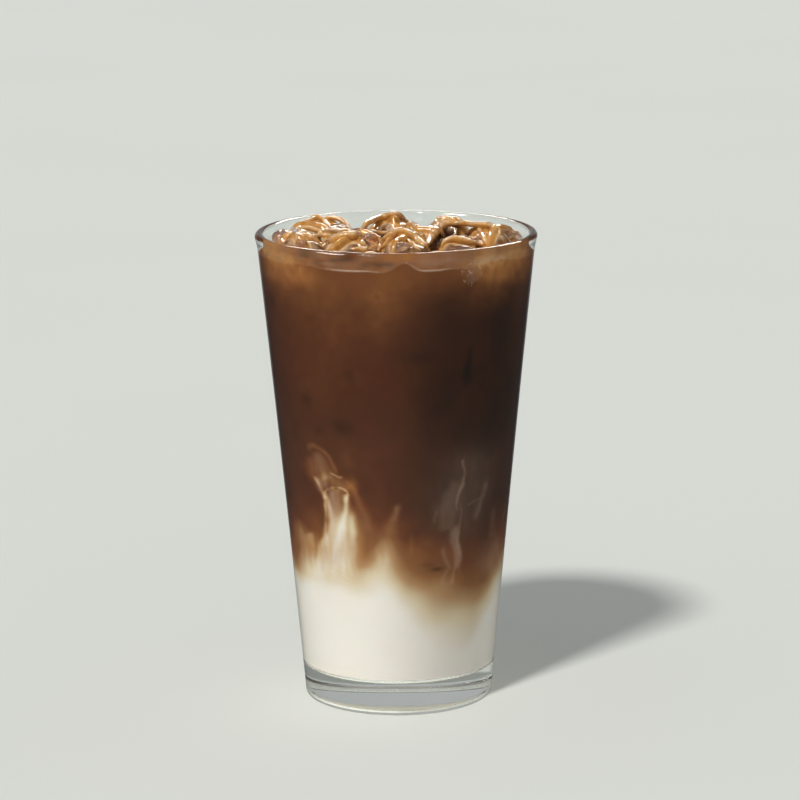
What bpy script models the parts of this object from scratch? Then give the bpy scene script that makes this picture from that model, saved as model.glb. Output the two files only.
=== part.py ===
"""Iced caramel macchiato in a straight-sided pint glass.

The glass is one turned piece. Inside it stand three liquid layers, milk, latte and
coffee, that meet in uneven faces, and the coffee is cut round the lumps of ice that
rise out of it. Each lump carries its own strands of thick caramel drizzle.
Metres, +Z up, origin at the middle of the foot's underside.
"""
import math

import bmesh
import bpy
from mathutils import Euler, Vector, noise
from mathutils.bvhtree import BVHTree

MM = 0.001

# glass
HEIGHT = 150.0 * MM
RIM_RADIUS = 44.15 * MM         # outer wall carried up to the rim, without the lip's bead
FOOT_RADIUS = 29.8 * MM
WAIST = 0.25 * MM               # how far the wall is drawn in halfway up
RIM_WALL = 2.4 * MM
FOOT_WALL = 3.0 * MM
LIP_BEAD = 0.45 * MM            # how far the fire-polished lip swells outwards
LIP_HEIGHT = 6.0 * MM
FLOOR = 10.4 * MM               # thickness of the base
FLOOR_ROUND = 3.0 * MM          # inner corner
FOOT_ROUND = 1.6 * MM           # outer corner
PUNT_RADIUS = 19.0 * MM         # shallow hollow under the foot
PUNT_DEPTH = 0.9 * MM
STEPS = 36                      # sides of every turned piece
WALL_RISES = 6                  # straight pieces up each side of the wall
MERGE_DISTANCE = 0.01 * MM

# drink
GAP = 0.3 * MM                  # clearance between neighbouring pieces
LEVEL = 143.7 * MM              # top of the coffee
MILK_TOP = 38.0 * MM            # mean heights of the uneven faces between the layers
LATTE_TOP = 52.0 * MM
LATTE_LEAST = 5.0 * MM          # thinnest the latte may get over a plume of milk
MILK_RIPPLE = 1.6 * MM          # height and span of the ripples on each face
MILK_RIPPLE_SPAN = 11.0 * MM
LATTE_RIPPLE = 2.6 * MM
LATTE_RIPPLE_SPAN = 13.0 * MM
FACE_RINGS = (0.0, 0.5, 0.85)   # rings of points on a layer's face, as shares of the bore
LAYER_RISES = 5                 # straight pieces up a layer's side

# Plumes of milk that rise into the layers above: bearing, distance out, height, radius
MILK_PLUMES = (
    (236.0, 24.0 * MM, 15.0 * MM, 7.5 * MM),
    (75.0, 21.0 * MM, 8.0 * MM, 8.0 * MM),
    (160.0, 22.0 * MM, 6.0 * MM, 8.0 * MM),
)

# Ice: middle (x, y), top height, size (x, y, z), tilt in degrees (x, y, z), and the
# drizzle strands on it, each as bearing in degrees, offset to the left of the middle,
# and bow sideways.
ICE_EDGE_ROUND = 3.8 * MM
ICE_CUTS = 3                    # points along each edge of a block, besides its ends
SMALL_ICE = 12.5 * MM           # blocks up to this wide take one point less
ICE_UNEVENNESS = 0.7 * MM
ICE_DENT_SPAN = 9.0 * MM
ICE_LUMPS = (
    ("ice_back_left", (-24.0, 15.0), 150.0, (19.0, 17.0, 18.0), (6, -5, -32),
     ((10, 2.5, 2.0), (-48, -3.0, -1.5))),
    ("ice_back", (-1.5, 13.5), 151.3, (14.0, 15.0, 19.0), (-14, 15, 36),
     ((28, 1.0, 1.0), (-58, 0.5, -1.0))),
    ("ice_back_right", (17.2, 14.3), 150.2, (13.5, 15.0, 18.0), (-8, -9, 14),
     ((22, -1.0, 2.5), (-54, -1.0, 1.0))),
    ("ice_left", (-30.5, -5.0), 149.0, (13.5, 14.0, 15.0), (-9, 11, 6),
     ((22, 1.5, 1.0), (-64, 0.0, -1.0))),
    ("ice_middle", (-10.5, -0.5), 148.6, (11.0, 10.0, 14.0), (10, 10, 20),
     ((-36, 0.0, 1.0),)),
    ("ice_right", (30.5, -1.0), 150.2, (13.5, 15.5, 16.0), (-6, -12, -14),
     ((-16, 1.5, 1.5), (56, -1.5, -1.0))),
    ("ice_front_left", (-15.6, -14.8), 149.2, (13.5, 12.5, 15.0), (12, -8, 14),
     ((-10, 1.5, 1.5), (50, -1.0, 1.5))),
    ("ice_front", (3.0, -13.5), 149.3, (14.5, 13.5, 16.0), (9, 4, -8),
     ((4, 1.5, 2.0), (70, 2.5, -1.5))),
    ("ice_front_right", (19.0, -14.0), 148.0, (11.0, 10.5, 14.0), (14, 6, 24),
     ((10, 1.0, 1.5),)),
    ("ice_centre", (10.0, 0.3), 148.8, (12.5, 9.5, 14.0), (-8, 8, 12),
     ((-24, 0.0, 1.0),)),
    ("ice_low_left", (-7.0, -30.5), 145.9, (12.0, 10.0, 12.0), (5, 6, -10),
     ((-20, 0.5, 1.0),)),
    ("ice_low_right", (11.0, -30.0), 146.0, (12.5, 10.5, 12.0), (6, -5, 14),
     ((24, 0.0, 1.0),)),
    ("ice_low_far_left", (-25.2, -23.4), 145.6, (10.0, 8.5, 11.0), (4, 5, -42),
     ((-46, 0.0, 0.5),)),
    ("ice_low_far_right", (26.4, -21.8), 145.6, (10.5, 8.5, 11.0), (4, -5, 40),
     ((38, 0.0, 0.5),)),
)
STRAND_RADIUS = 1.45 * MM
STRAND_SIDES_RESOLUTION = 1     # bevel_resolution: 1 gives 6 sides
CREST_POINTS = 8                # points of a strand's path over the ice
DRAPE_PROBES = 40               # steps to each side in which the ice under it is felt
DRAPE_REACH = 16.0 * MM
LEG_SPREAD = 0.8 * MM           # how far a strand's leg leans out on its way down
LEG_DEPTH = 3.0 * MM            # how far below the coffee's top a leg is led
LEG_THINNING = 0.6              # a leg's end, as a share of the strand's thickness
STRAND_SINK = 0.25              # share of its radius that a strand lies sunk in the ice

FINISHES = {
    "clear_glass": ((0.93, 0.97, 0.95, 1.0), 0.02, 1.0),
    "milk": ((0.79, 0.73, 0.64, 1.0), 0.30, 0.0),
    "latte": ((0.46, 0.27, 0.13, 1.0), 0.30, 0.0),
    "coffee": ((0.085, 0.034, 0.015, 1.0), 0.20, 0.0),
    "caramel_ice": ((0.48, 0.22, 0.06, 1.0), 0.15, 0.2),
}


def clear_scene():
    for obj in list(bpy.data.objects):
        bpy.data.objects.remove(obj, do_unlink=True)


def collection(name):
    new = bpy.data.collections.new(name)
    bpy.context.scene.collection.children.link(new)
    return new


def finish(name):
    """The Principled material of this name, made once."""
    material = bpy.data.materials.get(name)
    if material is None:
        colour, roughness, transmission = FINISHES[name]
        material = bpy.data.materials.new(name)
        material.use_nodes = True
        shader = material.node_tree.nodes["Principled BSDF"]
        shader.inputs["Base Color"].default_value = colour
        shader.inputs["Roughness"].default_value = roughness
        shader.inputs["Metallic"].default_value = 0.0
        shader.inputs["Transmission Weight"].default_value = transmission
        material.diffuse_color = colour
    return material


def new_object(name, mesh, group, material_name):
    obj = bpy.data.objects.new(name, mesh)
    group.objects.link(obj)
    mesh.materials.clear()
    mesh.materials.append(finish(material_name))
    return obj


def evaluated_mesh(obj):
    graph = bpy.context.evaluated_depsgraph_get()
    return bpy.data.meshes.new_from_object(obj.evaluated_get(graph), depsgraph=graph)


# ---------------------------------------------------------------- glass outline
def outer_radius(z):
    share = z / HEIGHT
    straight = FOOT_RADIUS + (RIM_RADIUS - FOOT_RADIUS) * share
    return straight - WAIST * 4.0 * share * (1.0 - share)


def inner_radius(z):
    share = z / HEIGHT
    return outer_radius(z) - FOOT_WALL - (RIM_WALL - FOOT_WALL) * share


def lip_swell(z):
    """Outward swell of the lip, rising smoothly over its height."""
    share = max(0.0, (z - (HEIGHT - LIP_HEIGHT)) / LIP_HEIGHT)
    return LIP_BEAD * share * share * (3.0 - 2.0 * share)


def arc(centre, radius, start, end, pieces):
    """Points (x, z) of an arc, its angles in degrees from +X towards +Z."""
    points = []
    for i in range(pieces + 1):
        angle = math.radians(start + (end - start) * i / pieces)
        points.append((centre[0] + radius * math.cos(angle),
                       centre[1] + radius * math.sin(angle)))
    return points


def glass_profile():
    """From the middle of the floor up the inside, over the lip and down the outside."""
    lip_radius = (RIM_WALL + LIP_BEAD) / 2
    lip_base = HEIGHT - lip_radius
    corner_base = FLOOR + FLOOR_ROUND
    corner = (inner_radius(corner_base) - FLOOR_ROUND, corner_base)
    foot = (outer_radius(FOOT_ROUND) - FOOT_ROUND, FOOT_ROUND)
    points = [(0.0, FLOOR), (corner[0] / 2, FLOOR)]
    points += arc(corner, FLOOR_ROUND, -90, 0, 4)
    for i in range(1, WALL_RISES + 1):
        z = corner_base + (lip_base - corner_base) * i / WALL_RISES
        points.append((inner_radius(z), z))
    lip_middle = (inner_radius(lip_base) + lip_radius, lip_base)
    points += arc(lip_middle, lip_radius, 180, 0, 6)[1:]
    wall_top = HEIGHT - LIP_HEIGHT
    for z in ((lip_base + wall_top) / 2, wall_top):
        points.append((outer_radius(z) + lip_swell(z), z))
    for i in range(1, WALL_RISES):
        z = wall_top + (FOOT_ROUND - wall_top) * i / WALL_RISES
        points.append((outer_radius(z), z))
    points += arc(foot, FOOT_ROUND, 0, -90, 3)
    points += [(PUNT_RADIUS, 0.0), (PUNT_RADIUS * 0.55, PUNT_DEPTH * 0.8), (0.0, PUNT_DEPTH)]
    return points


def turned(name, profile, group, material_name):
    mesh = bpy.data.meshes.new(name)
    mesh.from_pydata([(x, 0.0, z) for x, z in profile],
                     [(i, i + 1) for i in range(len(profile) - 1)], [])
    obj = new_object(name, mesh, group, material_name)
    screw = obj.modifiers.new("turn", "SCREW")
    screw.axis = "Z"
    screw.steps = STEPS
    screw.render_steps = STEPS
    screw.use_merge_vertices = True
    screw.merge_threshold = MERGE_DISTANCE
    screw.use_smooth_shade = True
    return obj


# ---------------------------------------------------------------- liquid layers
def floor_height(x, y):
    """Top of the glass's floor, with its rounded corner, plus the clearance."""
    corner_base = FLOOR + FLOOR_ROUND
    flat_radius = inner_radius(corner_base) - FLOOR_ROUND
    reach = max(0.0, math.hypot(x, y) - flat_radius)
    radius = FLOOR_ROUND - GAP
    return corner_base - math.sqrt(max(0.0, radius * radius - reach * reach))


def plume_rise(x, y):
    rise = 0.0
    for bearing, distance, height, radius in MILK_PLUMES:
        angle = math.radians(bearing)
        away = math.hypot(x - distance * math.cos(angle), y - distance * math.sin(angle))
        rise += height * math.exp(-(away / radius) ** 2)
    return rise


def milk_height(x, y):
    ripple = MILK_RIPPLE * noise.noise(Vector((x, y, 0.0)) / MILK_RIPPLE_SPAN)
    return MILK_TOP + ripple + plume_rise(x, y)


def latte_height(x, y):
    ripple = LATTE_RIPPLE * noise.noise(Vector((y, x, 0.0)) / LATTE_RIPPLE_SPAN)
    return max(LATTE_TOP + ripple, milk_height(x, y) + LATTE_LEAST)


def split_ends_alike(work):
    """Split the four-sided faces of a drum's ends, each from its inner clockwise corner
    to its outer anticlockwise one, so that the faces of two layers match where they meet.
    """
    for face in work.faces[:]:
        if len(face.verts) == 4 and abs(face.normal.z) > 0.5:
            by_radius = sorted(face.verts, key=lambda vertex: vertex.co.xy.length)
            near = min(by_radius[:2], key=lambda vertex: turn_from(face, vertex))
            far = max(by_radius[2:], key=lambda vertex: turn_from(face, vertex))
            bmesh.utils.face_split(face, near, far)


def turn_from(face, vertex):
    """How far the vertex lies anticlockwise of the face's middle, as seen from above."""
    middle = face.calc_center_median()
    return middle.x * vertex.co.y - middle.y * vertex.co.x


def lifted(face):
    """The same face, one clearance higher."""
    mean, height = face
    return mean, lambda x, y: height(x, y) + GAP


def layer(name, faces, group, material_name):
    """A liquid layer between two faces, out to the wall.

    Each face is its mean height and a function of (x, y) that gives its true height.
    The layer is turned as a drum of unit radius and height, whose points are then
    moved: the drum's radius becomes the glass's bore, and its height the way between
    the faces.
    """
    profile = [(share, 1.0) for share in FACE_RINGS]
    profile += [(1.0, 1.0 - i / LAYER_RISES) for i in range(LAYER_RISES + 1)]
    profile += [(share, 0.0) for share in reversed(FACE_RINGS)]
    drum = turned(name + "_drum", profile, group, material_name)
    mesh = evaluated_mesh(drum)
    bpy.data.objects.remove(drum, do_unlink=True)
    work = bmesh.new()
    work.from_mesh(mesh)
    split_ends_alike(work)
    (low_mean, low_face), (high_mean, high_face) = faces
    for vertex in work.verts:
        x, y, share = vertex.co
        bore = inner_radius(low_mean + (high_mean - low_mean) * share) - GAP
        at_wall = math.hypot(x, y) > 0.999
        for _ in range(4 if at_wall else 1):
            low = low_face(x * bore, y * bore)
            z = low + (high_face(x * bore, y * bore) - low) * share
            if at_wall:
                bore = inner_radius(z) - GAP
        vertex.co = (x * bore, y * bore, z)
    work.to_mesh(mesh)
    work.free()
    mesh.name = name
    return new_object(name, mesh, group, material_name)


# ---------------------------------------------------------------- ice and drizzle
def ice_mesh(name, centre, top, size, tilt, extra=0.0):
    """An uneven rounded block whose highest point is at top; extra swells it all round."""
    half = Vector(size) * MM / 2
    work = bmesh.new()
    bmesh.ops.create_cube(work, size=2.0)
    cuts = ICE_CUTS if 2 * half.x > SMALL_ICE else ICE_CUTS - 1
    bmesh.ops.subdivide_edges(work, edges=work.edges[:], cuts=cuts, use_grid_fill=True)
    turn = Euler([math.radians(a) for a in tilt]).to_matrix()
    seed = Vector((centre[0], centre[1], top))
    for vertex in work.verts:
        point = Vector(vertex.co[i] * half[i] for i in range(3))
        core = Vector(max(-half[i] + ICE_EDGE_ROUND, min(half[i] - ICE_EDGE_ROUND, point[i]))
                      for i in range(3))
        outward = (point - core).normalized()
        dent = noise.noise(outward + core / ICE_DENT_SPAN + seed)
        reach = ICE_EDGE_ROUND + ICE_UNEVENNESS * dent
        vertex.co = turn @ (core + outward * reach)
    highest = max(vertex.co.z for vertex in work.verts)
    shift = Vector((centre[0] * MM, centre[1] * MM, top * MM - highest))
    bmesh.ops.translate(work, verts=work.verts[:], vec=shift)
    bmesh.ops.triangulate(work, faces=work.faces[:])
    if extra:
        work.normal_update()
        outwards = [vertex.normal.copy() for vertex in work.verts]
        for vertex, outward in zip(work.verts, outwards):
            vertex.co += outward * extra
    mesh = bpy.data.meshes.new(name)
    work.to_mesh(mesh)
    work.free()
    return mesh


def ice_under_line(tree, centre, along, left, offset, bow):
    """Points of the ice's top under a bowed line across it, from edge to edge."""
    middle = Vector((centre[0] * MM, centre[1] * MM, HEIGHT * 1.2))
    touched = []
    for i in range(-DRAPE_PROBES, DRAPE_PROBES + 1):
        share = i / DRAPE_PROBES
        spot = middle + along * (share * DRAPE_REACH)
        spot += left * (offset + bow * (1.0 - share * share)) * MM
        hit = tree.ray_cast(spot, Vector((0.0, 0.0, -1.0)))[0]
        if hit:
            touched.append(hit)
    return touched


def strand_leg(edge, outward, crest_end):
    """The knee where a strand leaves the ice's edge, and its end down in the drink."""
    knee = edge + outward * LEG_SPREAD / 2
    knee.z = min(edge.z, crest_end.z - STRAND_RADIUS)
    foot = edge + outward * LEG_SPREAD
    foot.z = LEVEL - LEG_DEPTH
    return knee, foot


def drape_path(tree, centre, bearing, offset, bow):
    """A strand's path over the ice along its bearing, with a leg down at each end."""
    angle = math.radians(bearing)
    along = Vector((math.cos(angle), math.sin(angle), 0.0))
    left = Vector((-along.y, along.x, 0.0))
    touched = ice_under_line(tree, centre, along, left, offset, bow)
    last = len(touched) - 1
    line = [touched[round(last * i / (CREST_POINTS - 1))] for i in range(CREST_POINTS)]
    lift = STRAND_RADIUS * (1.0 - STRAND_SINK)
    crest = []
    for before, point, after in zip(line, line[1:], line[2:]):
        eased = (before.z + point.z + after.z) / 3
        crest.append(Vector((point.x, point.y, eased + lift)))
    first_knee, first_foot = strand_leg(line[0], -along, crest[0])
    last_knee, last_foot = strand_leg(line[-1], along, crest[-1])
    return [first_foot, first_knee] + crest + [last_knee, last_foot]


def strand(name, path, group):
    """One strand of drizzle: a round tube on the path, cut off just above the coffee."""
    curve = bpy.data.curves.new(name, "CURVE")
    curve.dimensions = "3D"
    curve.bevel_depth = STRAND_RADIUS
    curve.bevel_resolution = STRAND_SIDES_RESOLUTION
    curve.use_fill_caps = True
    spline = curve.splines.new("POLY")
    spline.points.add(len(path) - 1)
    for point, place in zip(spline.points, path):
        point.co = (place.x, place.y, place.z, 1.0)
    for point in (spline.points[0], spline.points[-1]):
        point.radius = LEG_THINNING
    tube = bpy.data.objects.new(name + "_line", curve)
    group.objects.link(tube)
    mesh = evaluated_mesh(tube)
    bpy.data.objects.remove(tube, do_unlink=True)
    work = bmesh.new()
    work.from_mesh(mesh)
    bmesh.ops.remove_doubles(work, verts=work.verts[:], dist=MERGE_DISTANCE)
    cut = bmesh.ops.bisect_plane(work, geom=work.verts[:] + work.edges[:] + work.faces[:],
                                 plane_co=(0.0, 0.0, LEVEL + GAP), plane_no=(0.0, 0.0, 1.0),
                                 clear_inner=True)
    rim = [piece for piece in cut["geom_cut"] if isinstance(piece, bmesh.types.BMEdge)]
    if rim:
        bmesh.ops.edgenet_fill(work, edges=rim)
    bmesh.ops.recalc_face_normals(work, faces=work.faces[:])
    work.to_mesh(mesh)
    work.free()
    return new_object(name, mesh, group, "caramel_ice")


def caramel_ice(spec, group):
    """A lump of ice with its strands fused on."""
    name, centre, top, size, tilt, strands = spec
    mesh = ice_mesh(name + "_block", centre, top, size, tilt)
    tree = BVHTree.FromPolygons([v.co for v in mesh.vertices],
                                [p.vertices for p in mesh.polygons])
    block = new_object(name + "_block", mesh, group, "caramel_ice")
    toppings = collection(name + "_drizzle")
    for i, (bearing, offset, bow) in enumerate(strands):
        strand(f"{name}_strand_{i}", drape_path(tree, centre, bearing, offset, bow), toppings)
    join = block.modifiers.new("drizzle", "BOOLEAN")
    join.operation = "UNION"
    join.operand_type = "COLLECTION"
    join.collection = toppings
    fused = evaluated_mesh(block)
    fused.name = name
    for piece in list(toppings.objects):
        bpy.data.objects.remove(piece, do_unlink=True)
    bpy.data.collections.remove(toppings)
    bpy.data.objects.remove(block, do_unlink=True)
    return new_object(name, fused, group, "caramel_ice")


def coffee_hollows(group):
    """One swollen block for each lump of ice, to cut the coffee with."""
    for name, centre, top, size, tilt, _ in ICE_LUMPS:
        mesh = ice_mesh(name + "_hollow", centre, top, size, tilt, extra=GAP)
        cutter = new_object(name + "_hollow", mesh, group, "coffee")
        cutter.hide_render = True
        cutter.display_type = "WIRE"


def build():
    clear_scene()
    parts = collection("iced_caramel_macchiato")
    cutters = collection("cutters")
    turned("glass", glass_profile(), parts, "clear_glass")
    bed = (FLOOR, floor_height)
    milk_face = (MILK_TOP, milk_height)
    latte_face = (LATTE_TOP, latte_height)
    surface = (LEVEL, lambda x, y: LEVEL)
    layer("milk", (bed, milk_face), parts, "milk")
    layer("latte", (lifted(milk_face), latte_face), parts, "latte")
    coffee = layer("coffee", (lifted(latte_face), surface), parts, "coffee")
    coffee_hollows(cutters)
    cut = coffee.modifiers.new("ice_hollows", "BOOLEAN")
    cut.operation = "DIFFERENCE"
    cut.operand_type = "COLLECTION"
    cut.collection = cutters
    for spec in ICE_LUMPS:
        caramel_ice(spec, parts)


build()
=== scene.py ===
"""Dresses the iced caramel macchiato: glass, milk, latte, coffee, iced lumps and drizzle.

Every piece stands where its solid in the frame stands. Metres, +Z up, bearings in
degrees from +X anticlockwise as seen from above, so that the front is at 270.
"""
import math
import random

import bmesh
import bpy
from mathutils import Euler, Matrix, Vector, kdtree, noise
from mathutils.bvhtree import BVHTree


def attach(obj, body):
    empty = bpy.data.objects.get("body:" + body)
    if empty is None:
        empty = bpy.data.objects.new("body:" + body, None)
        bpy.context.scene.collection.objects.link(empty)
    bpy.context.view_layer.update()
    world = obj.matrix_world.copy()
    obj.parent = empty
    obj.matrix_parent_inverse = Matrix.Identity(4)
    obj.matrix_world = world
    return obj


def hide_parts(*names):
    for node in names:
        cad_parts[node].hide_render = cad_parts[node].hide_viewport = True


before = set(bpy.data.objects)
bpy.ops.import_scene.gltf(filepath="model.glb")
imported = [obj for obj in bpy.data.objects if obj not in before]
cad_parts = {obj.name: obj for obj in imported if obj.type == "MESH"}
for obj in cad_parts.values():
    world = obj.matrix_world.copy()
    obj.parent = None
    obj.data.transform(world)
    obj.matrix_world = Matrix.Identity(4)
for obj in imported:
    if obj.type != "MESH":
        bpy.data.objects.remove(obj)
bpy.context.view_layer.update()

MM = 0.001

# ---------------------------------------------------------------- sizes, as in the part
HEIGHT = 150.0 * MM
RIM_RADIUS = 44.15 * MM
FOOT_RADIUS = 29.8 * MM
WAIST = 0.25 * MM
RIM_WALL = 2.4 * MM
FOOT_WALL = 3.0 * MM
LIP_BEAD = 0.45 * MM
LIP_HEIGHT = 6.0 * MM
FLOOR = 10.4 * MM
FLOOR_ROUND = 1.5 * MM          # sharper than in the part, so that the milk ends crisply
FOOT_ROUND = 1.6 * MM
PUNT_RADIUS = 19.0 * MM
PUNT_DEPTH = 0.9 * MM

LEVEL = 143.7 * MM
MILK_TOP = 38.0 * MM
LATTE_TOP = 52.0 * MM
LATTE_LEAST = 5.0 * MM
MILK_RIPPLE = 1.6 * MM
MILK_RIPPLE_SPAN = 11.0 * MM
LATTE_RIPPLE = 2.6 * MM
LATTE_RIPPLE_SPAN = 13.0 * MM
MILK_PLUMES = (
    (236.0, 24.0 * MM, 15.0 * MM, 7.5 * MM),
    (75.0, 21.0 * MM, 8.0 * MM, 8.0 * MM),
    (160.0, 22.0 * MM, 6.0 * MM, 8.0 * MM),
)

# Each lump of ice: middle (x, y), top height, size (x, y, z), tilt in degrees, and its
# drizzle strands as bearing, offset to the left of the middle, and bow sideways.
ICE_EDGE_ROUND = 3.8 * MM
ICE_UNEVENNESS = 0.7 * MM
ICE_DENT_SPAN = 9.0 * MM
ICE_LUMPS = (
    ("ice_back_left", (-24, 15), 150, (19, 17, 18), (6, -5, -32), ((10, 2.5, 2), (-48, -3, -1.5))),
    ("ice_back", (-1.5, 13.5), 151.3, (14, 15, 19), (-14, 15, 36), ((28, 1, 1), (-58, 0.5, -1))),
    ("ice_back_right", (17.2, 14.3), 150.2, (13.5, 15, 18), (-8, -9, 14), ((22, -1, 2.5),
     (-54, -1, 1))),
    ("ice_left", (-30.5, -5), 149, (13.5, 14, 15), (-9, 11, 6), ((22, 1.5, 1), (-64, 0, -1))),
    ("ice_middle", (-10.5, -0.5), 148.6, (11, 10, 14), (10, 10, 20), ((-36, 0, 1),)),
    ("ice_right", (30.5, -1), 150.2, (13.5, 15.5, 16), (-6, -12, -14), ((-16, 1.5, 1.5),
     (56, -1.5, -1))),
    ("ice_front_left", (-15.6, -14.8), 149.2, (13.5, 12.5, 15), (12, -8, 14), ((-10, 1.5, 1.5),
     (50, -1, 1.5))),
    ("ice_front", (3, -13.5), 149.3, (14.5, 13.5, 16), (9, 4, -8), ((4, 1.5, 2), (70, 2.5, -1.5))),
    ("ice_front_right", (19, -14), 148, (11, 10.5, 14), (14, 6, 24), ((10, 1, 1.5),)),
    ("ice_centre", (10, 0.3), 148.8, (12.5, 9.5, 14), (-8, 8, 12), ((-24, 0, 1),)),
    ("ice_low_left", (-7, -30.5), 145.9, (12, 10, 12), (5, 6, -10), ((-20, 0.5, 1),)),
    ("ice_low_right", (11, -30), 146, (12.5, 10.5, 12), (6, -5, 14), ((24, 0, 1),)),
    ("ice_low_far_left", (-25.2, -23.4), 145.6, (10, 8.5, 11), (4, 5, -42), ((-46, 0, 0.5),)),
    ("ice_low_far_right", (26.4, -21.8), 145.6, (10.5, 8.5, 11), (4, -5, 40), ((38, 0, 0.5),)),
)
STRAND_RADIUS = 1.45 * MM
DRAPE_REACH = 16.0 * MM
LEG_SPREAD = 0.8 * MM
LEG_DEPTH = 3.0 * MM
LEG_THINNING = 0.6
STRAND_SINK = 0.25

# ---------------------------------------------------------------- sizes of the dressing
REACH_INTO_WALL = 0.25 * MM     # how far the drink is carried into the glass
MERGE_DISTANCE = 0.002 * MM
GLASS_STEPS = 192
DRINK_STEPS = 384
FINE_SHARE = 0.42               # the coffee's lower part has the finer rows
FINE_RISES = 110
COARSE_RISES = 66
WALL_FITS = 4                   # rounds in which a layer's edge is fitted to the wall
SHARP_ANGLE = 50.0

FILM_THICKNESS = 0.6 * MM       # foam and caramel that cling to the wall over the drink
FILM_FRONT_TOP = 149.2 * MM
FILM_BACK_TOP = 144.5 * MM
FILM_RAGGEDNESS = 0.5 * MM
FILM_RISES = 22
FILM_DEPTH = 0.6 * MM           # how far it starts under the level

MENISCUS_RISE = 0.55 * MM
MENISCUS_SPAN = 1.1 * MM
SURFACE_RIPPLE = 0.12 * MM
SURFACE_RIPPLE_SPAN = 6.0      # mm

ICE_FINE_CUTS = 13
ICE_VOXEL = 0.42 * MM
SKIN_SMOOTHINGS = 3
ICE_ROUGHNESS = 0.16 * MM
DRAPE_RAYS = 60                 # on each side of a lump's middle
STRAND_CREST_POINTS = 26
STRAND_EASINGS = 10
STRAND_POINTS = 90
# How thin a strand or thread ends, over what share of its length, and how much and how
# often its thickness varies on the way.
STRAND_THICKNESS = (LEG_THINNING, 0.14, 0.16, 4.0)
THREAD_THICKNESS = (0.45, 0.20, 0.20, 5.0)

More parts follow.
